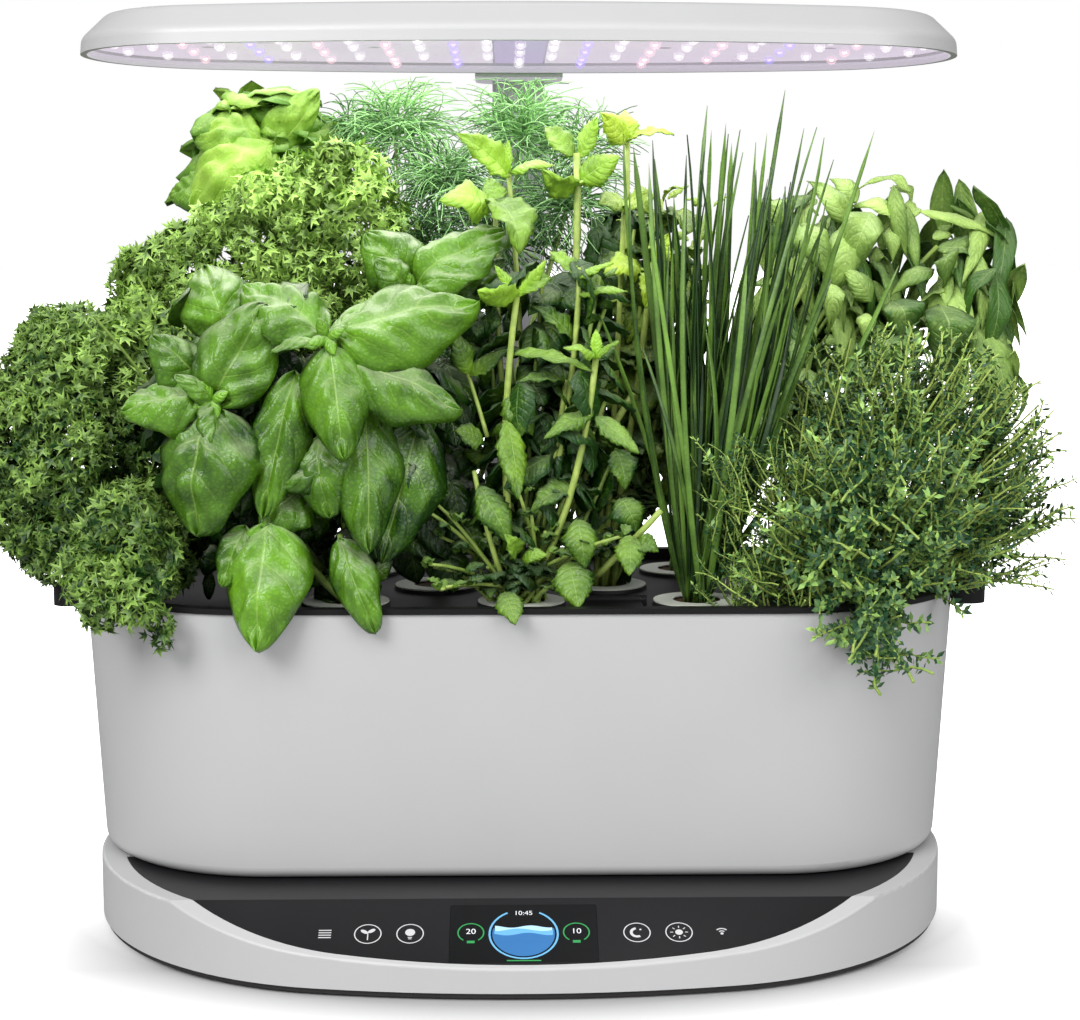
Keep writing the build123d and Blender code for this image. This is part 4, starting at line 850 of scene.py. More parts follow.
side_stems(balm, draw, root, 17, ((-6, 6), (-6, 6), 0), ((34, 92), (-18, 24), (240, 350)),
           ((-8, 8), 0, -10), 10, (1.3, 0.8), 0.5, toothed, (22, 24, 0.9, 0.3, (0.05, 0.6)), 40)
cover(balm, "plant_lemon_balm", toothed, 90, apart=10, seed=23, length=30, share=0.66, tints=(0.0, 0.4),
      droop=0.4, inset=2.0, front=8.0)
balm.finish("lemon_balm_leaves", "plant_lemon_balm", "leaf_lemon_balm", (BALM, STALK), 0.25)

# ---- chives ----------------------------------------------------------------------------------
blades = [leaf(f"blade_{bow}", rows=14, columns=2, taper=0.42, blunt=0.2, hump=bow, cup=0.0, fold=0.6)
          for bow in (-4.0, -1.5, 1.5, 4.0)]

# Each row: the tip's place and the blade's width.
CHIVE_TIPS = (
    (50, -60, 350, 4), (62, -52, 366, 4), (76, -60, 350, 5), (87, -44, 391, 5), (123, -46, 398, 5),
    (99, -40, 374, 9), (109, -54, 361, 6), (112, -62, 349, 4.5), (122, -58, 352, 6), (141, -50, 376, 4),
    (164, -52, 379, 4), (113, -66, 284, 6), (150, -50, 336, 8), (144, -62, 312, 6.5), (178, -46, 317, 6.5),
    (36, -62, 295, 3.5), (53, -36, 373, 8), (58, -66, 339, 4), (56, -66, 279, 3.5), (132, -60, 323, 5.5),
    (95, -58, 330, 6), (86, -62, 300, 5), (70, -60, 325, 5), (104, -64, 318, 6), (120, -66, 305, 6),
    (128, -62, 344, 5),
)
CHIVES_X, CHIVES_Y = 2 * POD_X, -POD_Y
FORWARD = (0, -1, 0.1)
chives = Foliage()
draw = Random(31)
for *tip, width in CHIVE_TIPS:
    foot = at(CHIVES_X + draw.uniform(-6, 6), CHIVES_Y - 2 + draw.uniform(-6, 4), POD_TOP)
    chives.leaf(draw.choice(blades), foot, at(*tip), 1.1 + width * 0.34, draw.uniform(0.3, 1.0), FORWARD,
                draw.uniform(-50, 50))
for index in range(135):
    angle = draw.uniform(0, 2 * pi)
    reach = sqrt(draw.random())
    height = 262 + 120 * draw.random() ** 1.3
    spread = (height - POD_TOP) / 240
    foot = at(CHIVES_X + 6 * reach * cos(angle), CHIVES_Y + 6 * reach * sin(angle), POD_TOP)
    head = at(CHIVES_X + (22 + 58 * reach * cos(angle) + draw.uniform(-12, 12)) * spread,
              CHIVES_Y + 24 * reach * sin(angle) * spread - 2, height)
    chives.leaf(draw.choice(blades), foot, head, draw.uniform(1.8, 2.8), draw.uniform(-0.15, 0.95), FORWARD,
                draw.uniform(-80, 80))
chives.finish("chive_blades", "plant_chives", "leaf_chives", (CHIVES, STALK), 0.5)


# ---- curly parsley ---------------------------------------------------------------------------
def curl(name, seed):
    """Divided leaflet of a parsley leaf, a unit long, with pointed lobes that are lighter at their ends."""
    draw = Random(seed)
    spokes = 6
    shape = bmesh.new()
    shape.loops.layers.uv.new("UVMap")
    tint = shape.verts.layers.float.new("tint")
    bmesh.ops.create_grid(shape, x_segments=spokes, y_segments=1, size=0.5, calc_uvs=True)
    for vert in shape.verts:
        turn = vert.co.x * 0.8 * pi
        reach = vert.co.y + 0.5
        notch = round((vert.co.x + 0.5) * spokes) % 2
        radius = 0.04 + reach * (0.45 if notch else 0.96) * draw.uniform(0.8, 1.15)
        ruffle = (0.1 if notch else -0.06) * reach + draw.uniform(-0.04, 0.04)
        vert.co = Vector((radius * sin(turn), radius * cos(turn), ruffle - 0.25 * reach**2))
        vert[tint] = 0.75 * reach - 0.36
    return mesh_of(name, shape)


def tuft(name, seed, count, spread, size, tints):
    """Rosette of leaflets round +Z, as a frond's head, their tips leaning outwards."""
    draw = Random(seed)
    curls = [curl(f"curl_{seed}_{n}", seed * 7 + n) for n in range(3)]
    head = Foliage()
    for index in range(count):
        angle = index * 2.4
        tilt = 1.35 * sqrt((index + 0.3) / count)
        outward = Vector((sin(tilt) * cos(angle), sin(tilt) * sin(angle), cos(tilt)))
        turn = outward.to_track_quat("Z", "Y").to_matrix() @ Matrix.Rotation(draw.uniform(0, 6.3), 3, "Z")
        turn = turn @ Matrix.Rotation(draw.uniform(0.35, 1.0), 3, "X")
        place = (turn * (size * draw.uniform(0.75, 1.2) * MM)).to_4x4()
        place.translation = outward * spread * draw.uniform(0.6, 1.0) * MM
        head.put(draw.choice(curls), place, draw.uniform(*tints))
    return mesh_of(name, head.mesh)


PARSLEY_FOOT, PARSLEY_CREST = 0.15, 0.371
PARSLEY_SIDE_SPOTS = (
    (-188, -12, 300), (-176, -8, 314), (-200, -20, 290), (-192, -26, 276), (-206, -14, 276), (-182, -22, 292),
    (-168, -14, 306), (-212, -22, 266), (-172, -24, 288), (-196, 4, 292), (-184, 6, 306),
)
tufts = [tuft(f"parsley_tuft_{n}", n, 56, 10.5, 5.2, (-0.3, 0.2)) for n in range(6)]
draw = Random(51)
spots = surface_spots("plant_parsley", 340, 12.5, 5, -0.75)
spots += [(at(*place), Vector((-0.4, -0.7, 0.6)).normalized()) for place in PARSLEY_SIDE_SPOTS]
lower, upper = Foliage(), Foliage()
for spot, outward in spots:
    if spot.z < PARSLEY_FOOT:
        continue
    high = spot.z > 0.25 and spot.x > -0.2
    spot.z = min(spot.z, PARSLEY_CREST - 0.55 * max(0.0, -0.088 - spot.x))
    # The tint paints light and shade: tufts that look up, stand out of the mass or sit high towards the lamp are
    # lighter, sunken ones darker.
    clump = noise.noise(spot * 38)
    tint = max(0.0, outward.z) * 0.2 + clump * 0.3 + 0.12 * high
    tint = tint + max(0.0, (spot.z - 0.28) / 0.08) * 0.25 + draw.uniform(-0.1, 0.1)
    (upper if high else lower).put_upright(
        draw.choice(tufts), spot - outward * (0.008 - 0.011 * clump),
        (outward + Vector((draw.uniform(-0.4, 0.4), 0, 0.3))).normalized(), draw.uniform(0, 6.3),
        draw.uniform(0.85, 1.2), tint)
# Deep tufts inside the lower mass, dark as painted shade.
for spot, outward in surface_spots("plant_parsley", 90, 22, 6, -0.4):
    if 0.17 < spot.z < 0.29 and spot.x < -0.1:
        lower.put_upright(draw.choice(tufts), spot - outward * 0.024, outward, draw.uniform(0, 6.3), 1.3, -0.25)
lines = []
root = pod(-3, 0)
for index in range(26):
    head = at(*drawn(draw, (-215, -70), (-60, 14), (190, 325)))
    lines.append(arc((root, between(root, head, 0.5) + Vector((0, 0, 0.02)), head), 8, 1.3, 0.6))
lower.stalks(lines, 1, 0.3)
lower.finish("parsley_side_curls", "plant_parsley", "leaf_parsley", (PARSLEY, STALK))
upper.finish("parsley_top_curls", "plant_parsley", "leaf_parsley", (PARSLEY, STALK))

# ---- dill ------------------------------------------------------------------------------------
DILL_CEILING = 0.41
THREAD = 0.42
# Each row: the head's middle, its reach, its threads, tint and seed.
# Lower heads, deep among the other plants, carry low tints as painted shade.
DILL_HEADS = (
    (-64, 50, 382, 40, 330, 0.75, 1), (2, 50, 382, 40, 340, 0.8, 2), (-86, 54, 384, 26, 110, 0.4, 3),
    (-38, 22, 356, 36, 300, 0.45, 4), (-48, 14, 328, 34, 220, 0.2, 5), (24, 22, 344, 38, 300, 0.3, 6),
    (32, 50, 374, 32, 160, 0.5, 7), (-10, 40, 330, 44, 280, 0.1, 8), (-36, 50, 300, 44, 260, 0.0, 9),
    (-40, 10, 262, 34, 220, 0.0, 10), (-46, 0, 214, 30, 160, 0.0, 11),
)
dill = Foliage()


def dill_head(centre, reach, count, tint, seed):
    """Feathery ball of long curved threads round a point."""
    draw = Random(seed)
    groups = [[], [], []]
    for index in range(count):
        away = Vector((draw.gauss(0, 1), draw.gauss(0, 0.7), draw.gauss(0.35, 0.8))).normalized()
        place = centre + away * reach * draw.uniform(0.0, 0.5) * MM
        line = [(place, THREAD)]
        way = (away + Vector(drawn(draw, (-0.9, 0.9), (-0.9, 0.9), (-0.1, 0.8)))).normalized()
        bend = Vector(drawn(draw, (-0.35, 0.35), (-0.35, 0.35), (-0.4, -0.05)))
        for step in range(6):
            way = (way + bend).normalized()
            place = place + way * reach * 0.12 * MM
            place.z = min(place.z, DILL_CEILING)
            line.append((place, THREAD * (0.95 - 0.1 * step)))
        groups[index % 3].append(line)
    for lines, shift in zip(groups, (-0.45, 0.0, 0.35)):
        dill.stalks(lines, 0, tint + shift, 0)


for x, y, z, *head in DILL_HEADS:
    dill_head(at(x, y, z), *head)
dill.stems(pod(-1, 0), [
    ((((x - POD_X) / 2, y / 3, POD_TOP + (z - POD_TOP) * 0.4), (x, y, z)), 10, 1.5, 0.6)
    for x, y, z, *_ in DILL_HEADS], 1, 0.4)
dill.finish("dill_threads", "plant_dill", "leaf_dill", (DILL, STALK))

# ---- thyme -----------------------------------------------------------------------------------
thyme_leaf = leaf("thyme_leaf", rows=2, columns=2, taper=0.8, blunt=0.8, hump=0.1, cup=0.3)


def sprig(name, seed, length, pairs):
    """Wiry thyme sprig along +Z with opposite pairs of tiny leaves."""
    draw = Random(seed)
    steps = 8
    line = []
    place = Vector((0, 0, 0))
    way = Vector((0, 0, 1))
    for step in range(steps + 1):
        line.append((place.copy(), 0.85 - 0.06 * step))
        way = (way + Vector(drawn(draw, (-0.3, 0.3), (-0.3, 0.3), 0.05))).normalized()
        place = place + way * length / steps * MM
    whole = Foliage()
    for joint in range(pairs):
        centre = along_line(line, 0.12 + 0.88 * joint / pairs)
        turn = joint * pi / 2 + draw.uniform(-0.6, 0.6)
        for side in (0, pi):
            away = Vector((cos(turn + side), sin(turn + side), draw.uniform(0.2, 0.9))).normalized()
            whole.leaf(thyme_leaf, centre, centre + away * draw.uniform(3.6, 6.2) * MM, draw.uniform(1.9, 2.9),
                       0.75 * draw.random() ** 2, (-away.x, -away.y, 1))
    whole.stalks([line], 0, 0.8)
    return mesh_of(name, whole.mesh)


sprigs = [sprig(f"thyme_sprig_{n}", 60 + n, 50, 16) for n in range(8)]
thyme = Foliage()
draw = Random(71)
heart = at(168, -24, 185)
for spot, outward in surface_spots("plant_thyme", 430, 8.5, 7, -0.5):
    way = ((spot - heart).normalized() + Vector((0, 0, 0.7)) + outward * 0.6).normalized()
    length = draw.uniform(0.8, 1.15)
    thyme.put_upright(draw.choice(sprigs), spot - way * 0.04 * length, way, draw.uniform(0, 6.3), length,
                      draw.uniform(-0.15, 0.1))
for index in range(110):
    foot = at(*drawn(draw, (86, 136), (-92, -56), (158, 232)))
    way = Vector(drawn(draw, (-0.7, 0.2), (-0.4, 0.1), (0.2, 1.0))).normalized()
    length = draw.uniform(0.5, 0.85)
    thyme.put_upright(draw.choice(sprigs), foot - way * 0.03 * length, way, draw.uniform(0, 6.3), length,
                      draw.uniform(-0.35, 0.2))
lines = []
root = pod(3, 0)
for spot, outward in surface_spots("plant_thyme", 90, 14, 8, -0.8):
    lines.append(arc((root, between(root, spot, 0.55) + Vector((0, 0, -0.02)), spot + outward * 0.004),
                     12, 0.8, 0.45))
thyme.stalks(lines, 1, 0.8)
thyme.finish("thyme_sprigs", "plant_thyme", "leaf_thyme", (THYME, STALK))
# Sprigs deep inside the thyme, dark as painted shade.
inner = Foliage()
for spot, outward in surface_spots("plant_thyme", 300, 9, 9, -0.6):
    way = (outward + Vector(drawn(draw, (-0.6, 0.6), (-0.4, 0.4), 0.6))).normalized()
    inner.put_upright(draw.choice(sprigs), spot - outward * 0.02 - way * 0.03, way, draw.uniform(0, 6.3),
                      0.9, -0.35)
inner.finish("thyme_inner_sprigs", "plant_thyme", "leaf_thyme", (THYME, STALK))

# ---- back basil ------------------------------------------------------------------------------
# Each row: which broad leaf, base, tip, width, tint, facing and, where it isn't nothing, roll.
BACK_LEAVES = (
    (1, (-123, 38, 376), (-168, 28, 350), 44, 0.75, (-0.2, -0.9, 0.4)),
    (1, (-128, 44, 378), (-164, 40, 386), 34, 0.6, (-0.3, -0.8, 0.5)),
    (2, (-126, 42, 372), (-101, 36, 404), 25, 0.55, (0.4, -0.9, 0.3), 20),
    (1, (-124, 50, 376), (-80, 60, 386), 34, 0.4, (0.2, -0.8, 0.5)),
    (0, (-124, 36, 372), (-147, 28, 358), 22, 0.6, (0, -1, 0.3)),
    (1, (-123, 42, 370), (-110, 38, 356), 24, 0.45, (0.2, -1, 0.2)),
    (1, (-129, 52, 386), (-150, 56, 398), 28, 0.4, (-0.2, -0.7, 0.6)),
    (0, (-158, 40, 356), (-180, 50, 352), 22, 0.25, (-0.3, -0.8, 0.4)),
    (1, (-130, 60, 372), (-160, 82, 372), 40, 0.5, (-0.2, 0.6, 0.7)),
    (1, (-122, 62, 374), (-96, 84, 376), 38, 0.5, (0.2, 0.6, 0.7)),
    (0, (-126, 60, 380), (-128, 84, 392), 30, 0.6, (0, 0.7, 0.6)),
    (1, (-118, 52, 362), (-92, 46, 345), 32, 0.3, (0.3, -0.6, 0.5)),
    (0, (-128, 50, 366), (-148, 40, 340), 34, 0.35, (-0.2, -0.9, 0.3)),
    (1, (-120, 60, 360), (-116, 86, 344), 34, 0.35, (0, 0.9, 0.4)),
    (1, (-104, 54, 300), (-84, 40, 292), 28, 0.2, (0.2, -0.7, 0.6)),
    (1, (-106, 54, 305), (-128, 66, 296), 28, 0.2, (-0.2, 0.4, 0.8)),
)
back_basil = Foliage()
for kind, base, tip, *look in BACK_LEAVES:
    back_basil.leaf(broad[kind], at(*base), at(*tip), *look)
back_basil.stems(pod(-2, 1), (
    (((-92, 52, 270), (-126, 44, 376)), 12, 2.4, 1.6),
    (((-90, 56, 270), (-124, 60, 374)), 12, 2.2, 1.4),
    (((-90, 50, 240), (-104, 54, 302)), 10, 2.0, 1.4),
), 2, 0.5)
cover(back_basil, "plant_basil_back", filler, 60, apart=12, seed=24, length=40, share=0.66, tints=(0.1, 0.5),
      droop=0.3, inset=2.0, front=8.0)
back_basil.finish("basil_back_leaves", "plant_basil_back", "leaf_basil_back", (BASIL_BACK, STALK), 0.35)

# ---- Thai basil ------------------------------------------------------------------------------
slim = [
    leaf("slim_leaf_a", rows=14, columns=6, taper=0.7, blunt=1.15, hump=0.3, cup=0.3, quilt=0.05, pairs=8,
         wave=0.06, curl=0.7, crumple=0.12, seed=21),
    leaf("slim_leaf_b", rows=14, columns=6, taper=0.65, blunt=1.25, hump=0.6, cup=0.15, quilt=0.06, pairs=8,
         wave=0.12, waves=2.0, fold=0.4, curl=1.4, crumple=0.15, seed=22),
]
# Each row: base, tip, width, tint and facing.
THAI_LEAVES = (
    ((207, 50, 344), (261, 56, 330), 10, 0.95, (0, -0.5, 0.8)),
    ((215, 50, 324), (248, 58, 313), 15, 0.35, (0.1, -0.7, 0.7)),
    ((219, 46, 324), (246, 52, 293), 15, 0.6, (0.5, -0.8, 0.4)),
    ((203, 54, 353), (178, 60, 363), 8, 0.9, (0, -0.5, 0.8)),
    ((196, 48, 340), (174, 44, 352), 14, 0.9, (0, -0.6, 0.8)),
    ((198, 52, 339), (212, 70, 347), 10, 0.85, (0.2, -0.7, 0.6)),
    ((191, 46, 336), (192, 38, 321), 10, 0.7, (0, -1, 0.2)),
    ((168, 40, 337), (149, 46, 363), 13, 0.6, (-0.3, -0.8, 0.5)),
    ((173, 44, 348), (162, 50, 364), 12, 0.7, (0, -0.8, 0.6)),
    ((180, 40, 343), (166, 30, 310), 20, 0.5, (-0.2, -1, 0.2)),
    ((167, 36, 336), (161, 26, 300), 20, 0.6, (0.3, -1, 0.2)),
    ((214, 44, 317), (222, 39, 309), 18, 0.3, (0.2, -0.9, 0.4)),
    ((213, 40, 314), (190, 34, 306), 12, 0.5, (-0.1, -0.7, 0.7)),
    ((216, 44, 296), (219, 36, 262), 27, 0.25, (0.1, -1, 0.3)),
    ((235, 44, 289), (259, 40, 229), 24, 0.45, (0.3, -0.9, 0.3)),
    ((230, 46, 283), (232, 44, 270), 11, 0.8, (0, -1, 0.2)),
    ((249, 50, 279), (261, 56, 274), 5, 0.8, (0, -0.5, 0.8)),
    ((190, 36, 298), (199, 30, 276), 22, 0.2, (0.1, -1, 0.3)),
    ((179, 30, 298), (165, 24, 316), 13, 0.5, (-0.2, -0.9, 0.4)),
    ((158, 30, 307), (158, 22, 285), 12, 0.8, (0, -1, 0.2)),
    ((176, 28, 292), (175, 20, 281), 10, 0.9, (0, -1, 0.2)),
    ((181, 36, 277), (194, 30, 258), 24, 0.2, (0.1, -1, 0.3)),
    ((142, 30, 337), (156, 20, 314), 18, 0.5, (0, -1, 0.3)),
    ((133, 40, 336), (127, 50, 353), 16, 0.5, (0, -0.9, 0.5)),
    ((214, 50, 330), (228, 60, 334), 8, 0.8, (0, -0.5, 0.8)),
    ((193, 60, 356), (209, 64, 343), 10, 0.85, (0.2, -0.6, 0.7)),
    ((225, 60, 347), (251, 70, 334), 5, 0.5, (0.2, -0.6, 0.7)),
)
thai = Foliage()
thai.leaves(slim, THAI_LEAVES)
root = pod(2, 1)
thai.stems(root, (
    (((130, 50, 260), (194, 50, 342)), 12, 2.0, 1.1),
    (((130, 46, 240), (216, 48, 326)), 12, 2.0, 1.1),
    (((120, 40, 270), (168, 40, 340)), 12, 1.8, 1.1),
    (((140, 46, 230), (232, 46, 286)), 12, 2.0, 1.1),
), 1, 0.4)
draw = Random(81)
for index in range(14):
    head = at(*drawn(draw, (120, 235), (36, 84), (270, 350)))
    line = arc((root, between(root, head, 0.5) + Vector((-0.01, 0, 0.0)), head), 10, 1.4, 0.8)
    thai.stalks([line], 1, 0.3)
    stem_with_pairs(thai, slim, line[4:], 18, 30, 0.95, 0.5, (0.05, 0.6), 90 + index)
cover(thai, "plant_thai_basil", slim, 165, apart=10.5, seed=25, length=50, share=0.24, tints=(-0.3, 0.95),
      droop=1.0, inset=3.0, front=6.0, top=0.335)
thai.finish("thai_basil_leaves", "plant_thai_basil", "leaf_thai_basil", (THAI, STALK), 0.25)


# ---- marks on the panel and picture on the screen --------------------------------------------
def lit(name, colour, strength):
    """Mark with a faint mottle that gives off light: lit on the screen, a painted glow on the printed panel ink.
    """
    material, tree, shader = blank(name)
    tone = tree.blend(tree.group(MOULDED)["Tone"], dimmed(colour, 0.9), colour)
    tree.feed(shader, {"Base Color": tone, "Emission Color": tone, "Emission Strength": strength,
                       "Roughness": 0.4})
    return material


# The printed ink's glow is painted light.
INK = lit("panel_ink", shade(190, 190, 192), 0.25)
RING_BLUE = lit("screen_ring", shade(96, 160, 200), 0.4)
WATER = lit("screen_water", shade(38, 98, 152), 0.5)
SWELL = lit("screen_swell", shade(92, 156, 200), 0.45)
WAVE = lit("screen_wave", shade(160, 200, 224), 0.45)
GREEN = lit("screen_green", shade(38, 134, 70), 0.5)
DIGITS = lit("screen_digits", shade(200, 204, 208), 0.6)


class Drawing:
    """Flat marks in millimetres on one plane, each with its own material."""

    def __init__(self, materials):
        self.mesh = bmesh.new()
        self.materials = materials

    def paint(self, verts, material, lift=0.0):
        """Gives new marks their material and height, their faces upwards."""
        self.mesh.normal_update()
        bmesh.ops.translate(self.mesh, verts=verts, vec=(0, 0, lift))
        for face in {face for vert in verts for face in vert.link_faces}:
            face.material_index = self.materials.index(material)
            if face.normal.z < 0:
                face.normal_flip()

    def ring(self, x, y, radius, width, material, start=0.0, sweep=360.0):
        """Ring or arc of a given line width."""
        old = set(self.mesh.verts)
        turn = Matrix.Rotation(radians(start), 3, "Z")
        ends = [self.mesh.verts.new(Vector((x, y, 0)) + turn @ Vector((reach, 0, 0)))
                for reach in (radius - width, radius)]
        edge = self.mesh.edges.new(ends)
        bmesh.ops.spin(self.mesh, geom=[*ends, edge], cent=(x, y, 0), axis=(0, 0, 1), angle=radians(sweep),
                       steps=max(6, int(sweep / 9)), use_merge=sweep == 360)
        self.paint([vert for vert in self.mesh.verts if vert not in old], material)

    def disc(self, x, y, radius, material, stretch=1.0, turn=0.0, segments=28, lift=0.0, keep=None):
        """Disc or ellipse, cut off above a height where keep gives one."""
        made = bmesh.ops.create_circle(self.mesh, cap_ends=True, segments=segments, radius=radius,
                                       matrix=placed(x, y, turn, 1, stretch))["verts"]
        if keep is not None:
            faces = {face for vert in made for face in vert.link_faces}
            edges = {edge for vert in made for edge in vert.link_edges}
            cut = bmesh.ops.bisect_plane(self.mesh, geom=[*made, *edges, *faces], plane_co=(x, y + keep, 0),
                                         plane_no=(0, 1, 0), clear_outer=True)
            made = [item for item in cut["geom"] if isinstance(item, bmesh.types.BMVert)]
        self.paint(made, material, lift)

    def bar(self, x, y, width, height, material, turn=0.0):
        self.paint(bmesh.ops.create_grid(self.mesh, x_segments=1, y_segments=1, size=0.5,
                                         matrix=placed(x, y, turn, width, height))["verts"], material)

    def waves(self, x, y, width, height, swell, turns, phase, material, lift):
        """Strip with a wavy upper edge."""
        made = bmesh.ops.create_grid(self.mesh, x_segments=24, y_segments=1, size=0.5)["verts"]
        for vert in made:
            rise = swell * sin(vert.co.x * 2 * pi * turns + phase) if vert.co.y > 0 else 0.0
            vert.co = Vector((x + vert.co.x * width, y + vert.co.y * height + rise, 0))
        self.paint(made, material, lift)

    def numbers(self, x, y, text, size, material):
        """Plain numbers in the stock typeface."""
        curve = bpy.data.curves.new("numbers", "FONT")
        curve.body = text
        curve.size = size
        curve.align_x = "CENTER"
        curve.align_y = "CENTER"
        holder = bpy.data.objects.new("numbers", curve)
        bpy.context.scene.collection.objects.link(holder)
        flat = bpy.data.meshes.new_from_object(holder)
        bpy.data.objects.remove(holder)
        flat.transform(Matrix.Translation((x, y, 0.02)))
        flat.polygons.foreach_set("material_index", [self.materials.index(material)] * len(flat.polygons))
        self.mesh.from_mesh(flat)

    def finish(self, name, plane):
        """Piece on a plane of the base, a hair above its face."""
        bmesh.ops.transform(self.mesh, matrix=plane @ Matrix.Scale(MM, 4), verts=self.mesh.verts)
        piece = object_of(name, self.mesh, self.materials)
        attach(piece, "base")


def placed(x, y, turn, width, height):
    """Place of a mark: its middle, its turn in degrees and its size."""
    size = Matrix.Diagonal((width, height, 1, 1))
    return Matrix.Translation((x, y, 0)) @ Matrix.Rotation(radians(turn), 4, "Z") @ size


def face_plane(node):
    """Plane of a sloping plate: its largest face that looks up and forward, X to the right."""
    mesh = nodes[node].data
    face = max((p for p in mesh.polygons if p.normal.z > 0.5 and p.normal.y < -0.1), key=lambda p: p.area)
    normal = face.normal.copy()
    across = Vector((1, 0, 0))
    frame_turn = Matrix((across, normal.cross(across), normal)).transposed().to_4x4()
    corners = [vert.co for vert in mesh.vertices if abs((vert.co - face.center).dot(normal)) < 0.0001]
    middle = sum(((min(c[i] for c in corners) + max(c[i] for c in corners)) / 2 * Vector((i == 0, i == 1, i == 2))
                  for i in range(3)), Vector())
    return Matrix.Translation(middle + normal * 0.00012) @ frame_turn


screen_plane = face_plane("display_screen")
RING_RADIUS = 6.1
INNER_RING = 50.3
OUTER_RING = 69.0
END_MARK = 88
marks = Drawing([INK])
for x in (-OUTER_RING, -INNER_RING, INNER_RING, OUTER_RING):
    marks.ring(x, 0, RING_RADIUS, 0.5, INK)
for row in range(4):
    marks.bar(-END_MARK, 2.4 - row * 1.5, 5.6, 0.6, INK)
marks.bar(-OUTER_RING, -1.6, 0.5, 4.4, INK)
marks.disc(-OUTER_RING - 1.6, 1.4, 1.9, INK, 0.5, -35)
marks.disc(-OUTER_RING + 1.6, 1.9, 1.9, INK, 0.5, 35)
marks.disc(-INNER_RING, 0.8, 2.2, INK)
marks.bar(-INNER_RING, -2.3, 1.9, 0.5, INK)
marks.bar(-INNER_RING, -3.2, 1.4, 0.5, INK)
marks.ring(INNER_RING, 0, 3.2, 1.3, INK, 100, 200)
marks.disc(INNER_RING + 1.6, 1.8, 0.5, INK)
marks.disc(OUTER_RING, 0, 1.7, INK)
for ray in range(8):
    marks.bar(OUTER_RING + 3.3 * cos(ray * pi / 4), 3.3 * sin(ray * pi / 4), 1.3, 0.45, INK, ray * 45)
for reach in (1.9, 3.4):
    marks.ring(END_MARK, -1, reach, 0.6, INK, 45, 90)
marks.disc(END_MARK, -1, 0.7, INK)
marks.finish("panel_marks", screen_plane)

DIAL = 23.4
picture = Drawing([RING_BLUE, WATER, SWELL, WAVE, GREEN, DIGITS])
picture.ring(0, -0.5, 15.6, 0.9, RING_BLUE, 118, 304)
picture.disc(0, -0.5, 13.9, WATER, segments=40, lift=0.02, keep=3.5)
picture.waves(0, 1.2, 25.4, 5.6, 0.7, 1.5, 0.4, WAVE, 0.04)
picture.waves(0, -0.4, 26.0, 4.8, 0.8, 1.2, 2.2, SWELL, 0.06)
picture.waves(0, -3.0, 26.4, 4.6, 0.8, 1.4, 0.9, WATER, 0.08)
for x in (-DIAL, DIAL):
    picture.ring(x, 0.4, 6.0, 0.6, GREEN, -55, 290)
    picture.bar(x, -5.4, 3.4, 1.6, GREEN)
picture.numbers(-DIAL, 1.0, "20", 4.6, DIGITS)
picture.numbers(DIAL, 1.0, "10", 4.6, DIGITS)
picture.numbers(0, 12.6, "10:45", 3.8, DIGITS)
picture.bar(0, -17.0, 15.0, 0.7, GREEN)
picture.finish("screen_picture", screen_plane)

# ---- lamp glow -------------------------------------------------------------------------------
LED_GAP = 0.006
LED_FACE = 0.4199


def led_centres():
    """Middle of each LED, from the vertices of the LED node."""
    centres = []
    for vert in nodes["leds"].data.vertices:
        for cluster in centres:
            if (cluster[0] - vert.co).length < LED_GAP:
                cluster[0] = (cluster[0] * cluster[1] + vert.co) / (cluster[1] + 1)
                cluster[1] += 1
                break
        else:
            centres.append([vert.co.copy(), 1])
    return [place for place, _ in centres]


def led_spheres(name, radius, material):
    """A sphere on each LED; the piece rides with the lamp."""
    shape = bmesh.new()
    for place in led_centres():
        spot = Matrix.Translation((place.x, place.y, LED_FACE))
        bmesh.ops.create_icosphere(shape, subdivisions=2, radius=radius, matrix=spot)
    piece = object_of(name, shape, [material])
    piece.data.shade_smooth()
    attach(piece, "lamp")


led_spheres("led_glow", 0.0028, led_finish("led_glow", 0.9, 0.2))
led_spheres("led_domes", 0.0013, led_finish("led_emitter", 2.4, 1.0))


# ---- floor, world, lights, camera ------------------------------------------------------------
def floor_finish():
    """Pale floor that runs out into the white round it, for the camera alone."""
    material, tree, shader = blank("pale_floor")
    place = tree.place()
    oval = tree.wire("VectorMath", {0: place, 1: (0.66, 1.0, 1.0)}, operation="MULTIPLY")
    away = tree.wire("VectorMath", {0: oval}, "Value", operation="LENGTH")
    near = tree.scale(tree.axes(place)[1], -0.1, 0.0, 0.0, 0.9) + tree.scale(away, 0.147, 0.18, 0.0, 0.68)
    far = tree.scale(away, 0.3, 0.9, 0.0, 0.8)
    patches = tree.wire("TexNoise", {"Scale": 3.0})
    tree.feed(shader, {
        "Base Color": tree.blend(patches, shade(176, 176, 176), shade(180, 180, 180)),
        "Roughness": 0.7,
        "Emission Color": (1, 1, 1, 1),
        "Emission Strength": tree.camera_ray() * (near + far),
    })
    return material


floor_shape = bmesh.new()
bmesh.ops.create_grid(floor_shape, x_segments=1, y_segments=1, size=30.0)
floor = object_of("floor", floor_shape, [floor_finish()])
floor.location.z = -0.0003

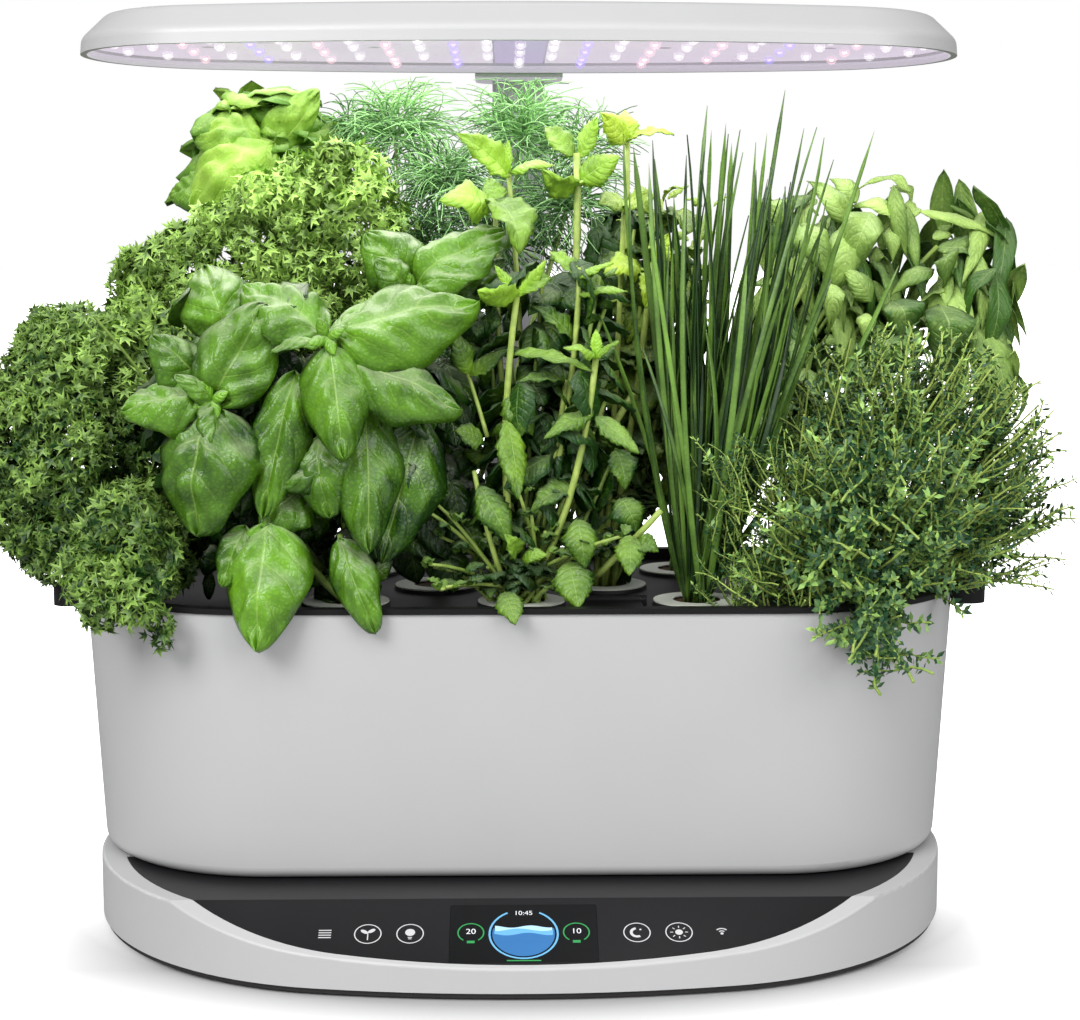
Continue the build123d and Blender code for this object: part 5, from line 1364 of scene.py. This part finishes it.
scene = bpy.context.scene
world = bpy.data.worlds.new("studio")
scene.world = world
world.use_nodes = True
sky = Tree(world.node_tree)
sky.feed(world.node_tree.nodes["Background"],
         {"Color": (1, 1, 1, 1), "Strength": sky.scale(sky.camera_ray(), 0.0, 1.0, 0.42, 1.0)})


def soft_light(name, place, target, width, height, power):
    """Rectangular studio light aimed at a point."""
    data = bpy.data.lights.new(name, "AREA")
    data.shape = "RECTANGLE"
    data.size = width
    data.size_y = height
    data.energy = power
    light = bpy.data.objects.new(name, data)
    light.location = place
    light.rotation_euler = (Vector(target) - Vector(place)).to_track_quat("-Z", "Y").to_euler()
    scene.collection.objects.link(light)


soft_light("key_light", (-1.0, -1.35, 1.25), (0, 0, 0.2), 0.9, 0.9, 26)
soft_light("top_light", (-0.05, -0.6, 0.9), (0, -0.08, 0.25), 0.9, 0.3, 3.5)
soft_light("fill_light", (1.3, -1.4, 0.9), (0, 0, 0.2), 1.2, 1.2, 17.5)
soft_light("lamp_light", (0, 0.008, 0.412), (0, 0.008, 0), 0.38, 0.13, 0.45)

SENSOR = 36.0
IMAGE_WIDTH = 1080.0
FOCAL_PIXELS = 2017.0
CAMERA_BACK, CAMERA_UP, CAMERA_RIGHT = 1000, 324.1, 9.7
camera_data = bpy.data.cameras.new("camera")
camera_data.sensor_width = SENSOR
camera_data.lens = FOCAL_PIXELS * SENSOR / IMAGE_WIDTH
camera_data.clip_end = 100.0
camera = bpy.data.objects.new("camera", camera_data)
scene.collection.objects.link(camera)
tilt, turn = 0.1282, -0.0179
right = Vector((cos(turn), sin(turn), 0))
ahead = Vector((-sin(turn) * cos(tilt), cos(turn) * cos(tilt), -sin(tilt)))
above = right.cross(ahead)
spot = Vector((sin(turn) * CAMERA_BACK, -cos(turn) * CAMERA_BACK, CAMERA_UP)) + right * CAMERA_RIGHT
camera.matrix_world = Matrix.Translation(at(*spot)) @ Matrix((right, above, -ahead)).transposed().to_4x4()
scene.camera = camera
scene.view_settings.view_transform = "Standard"
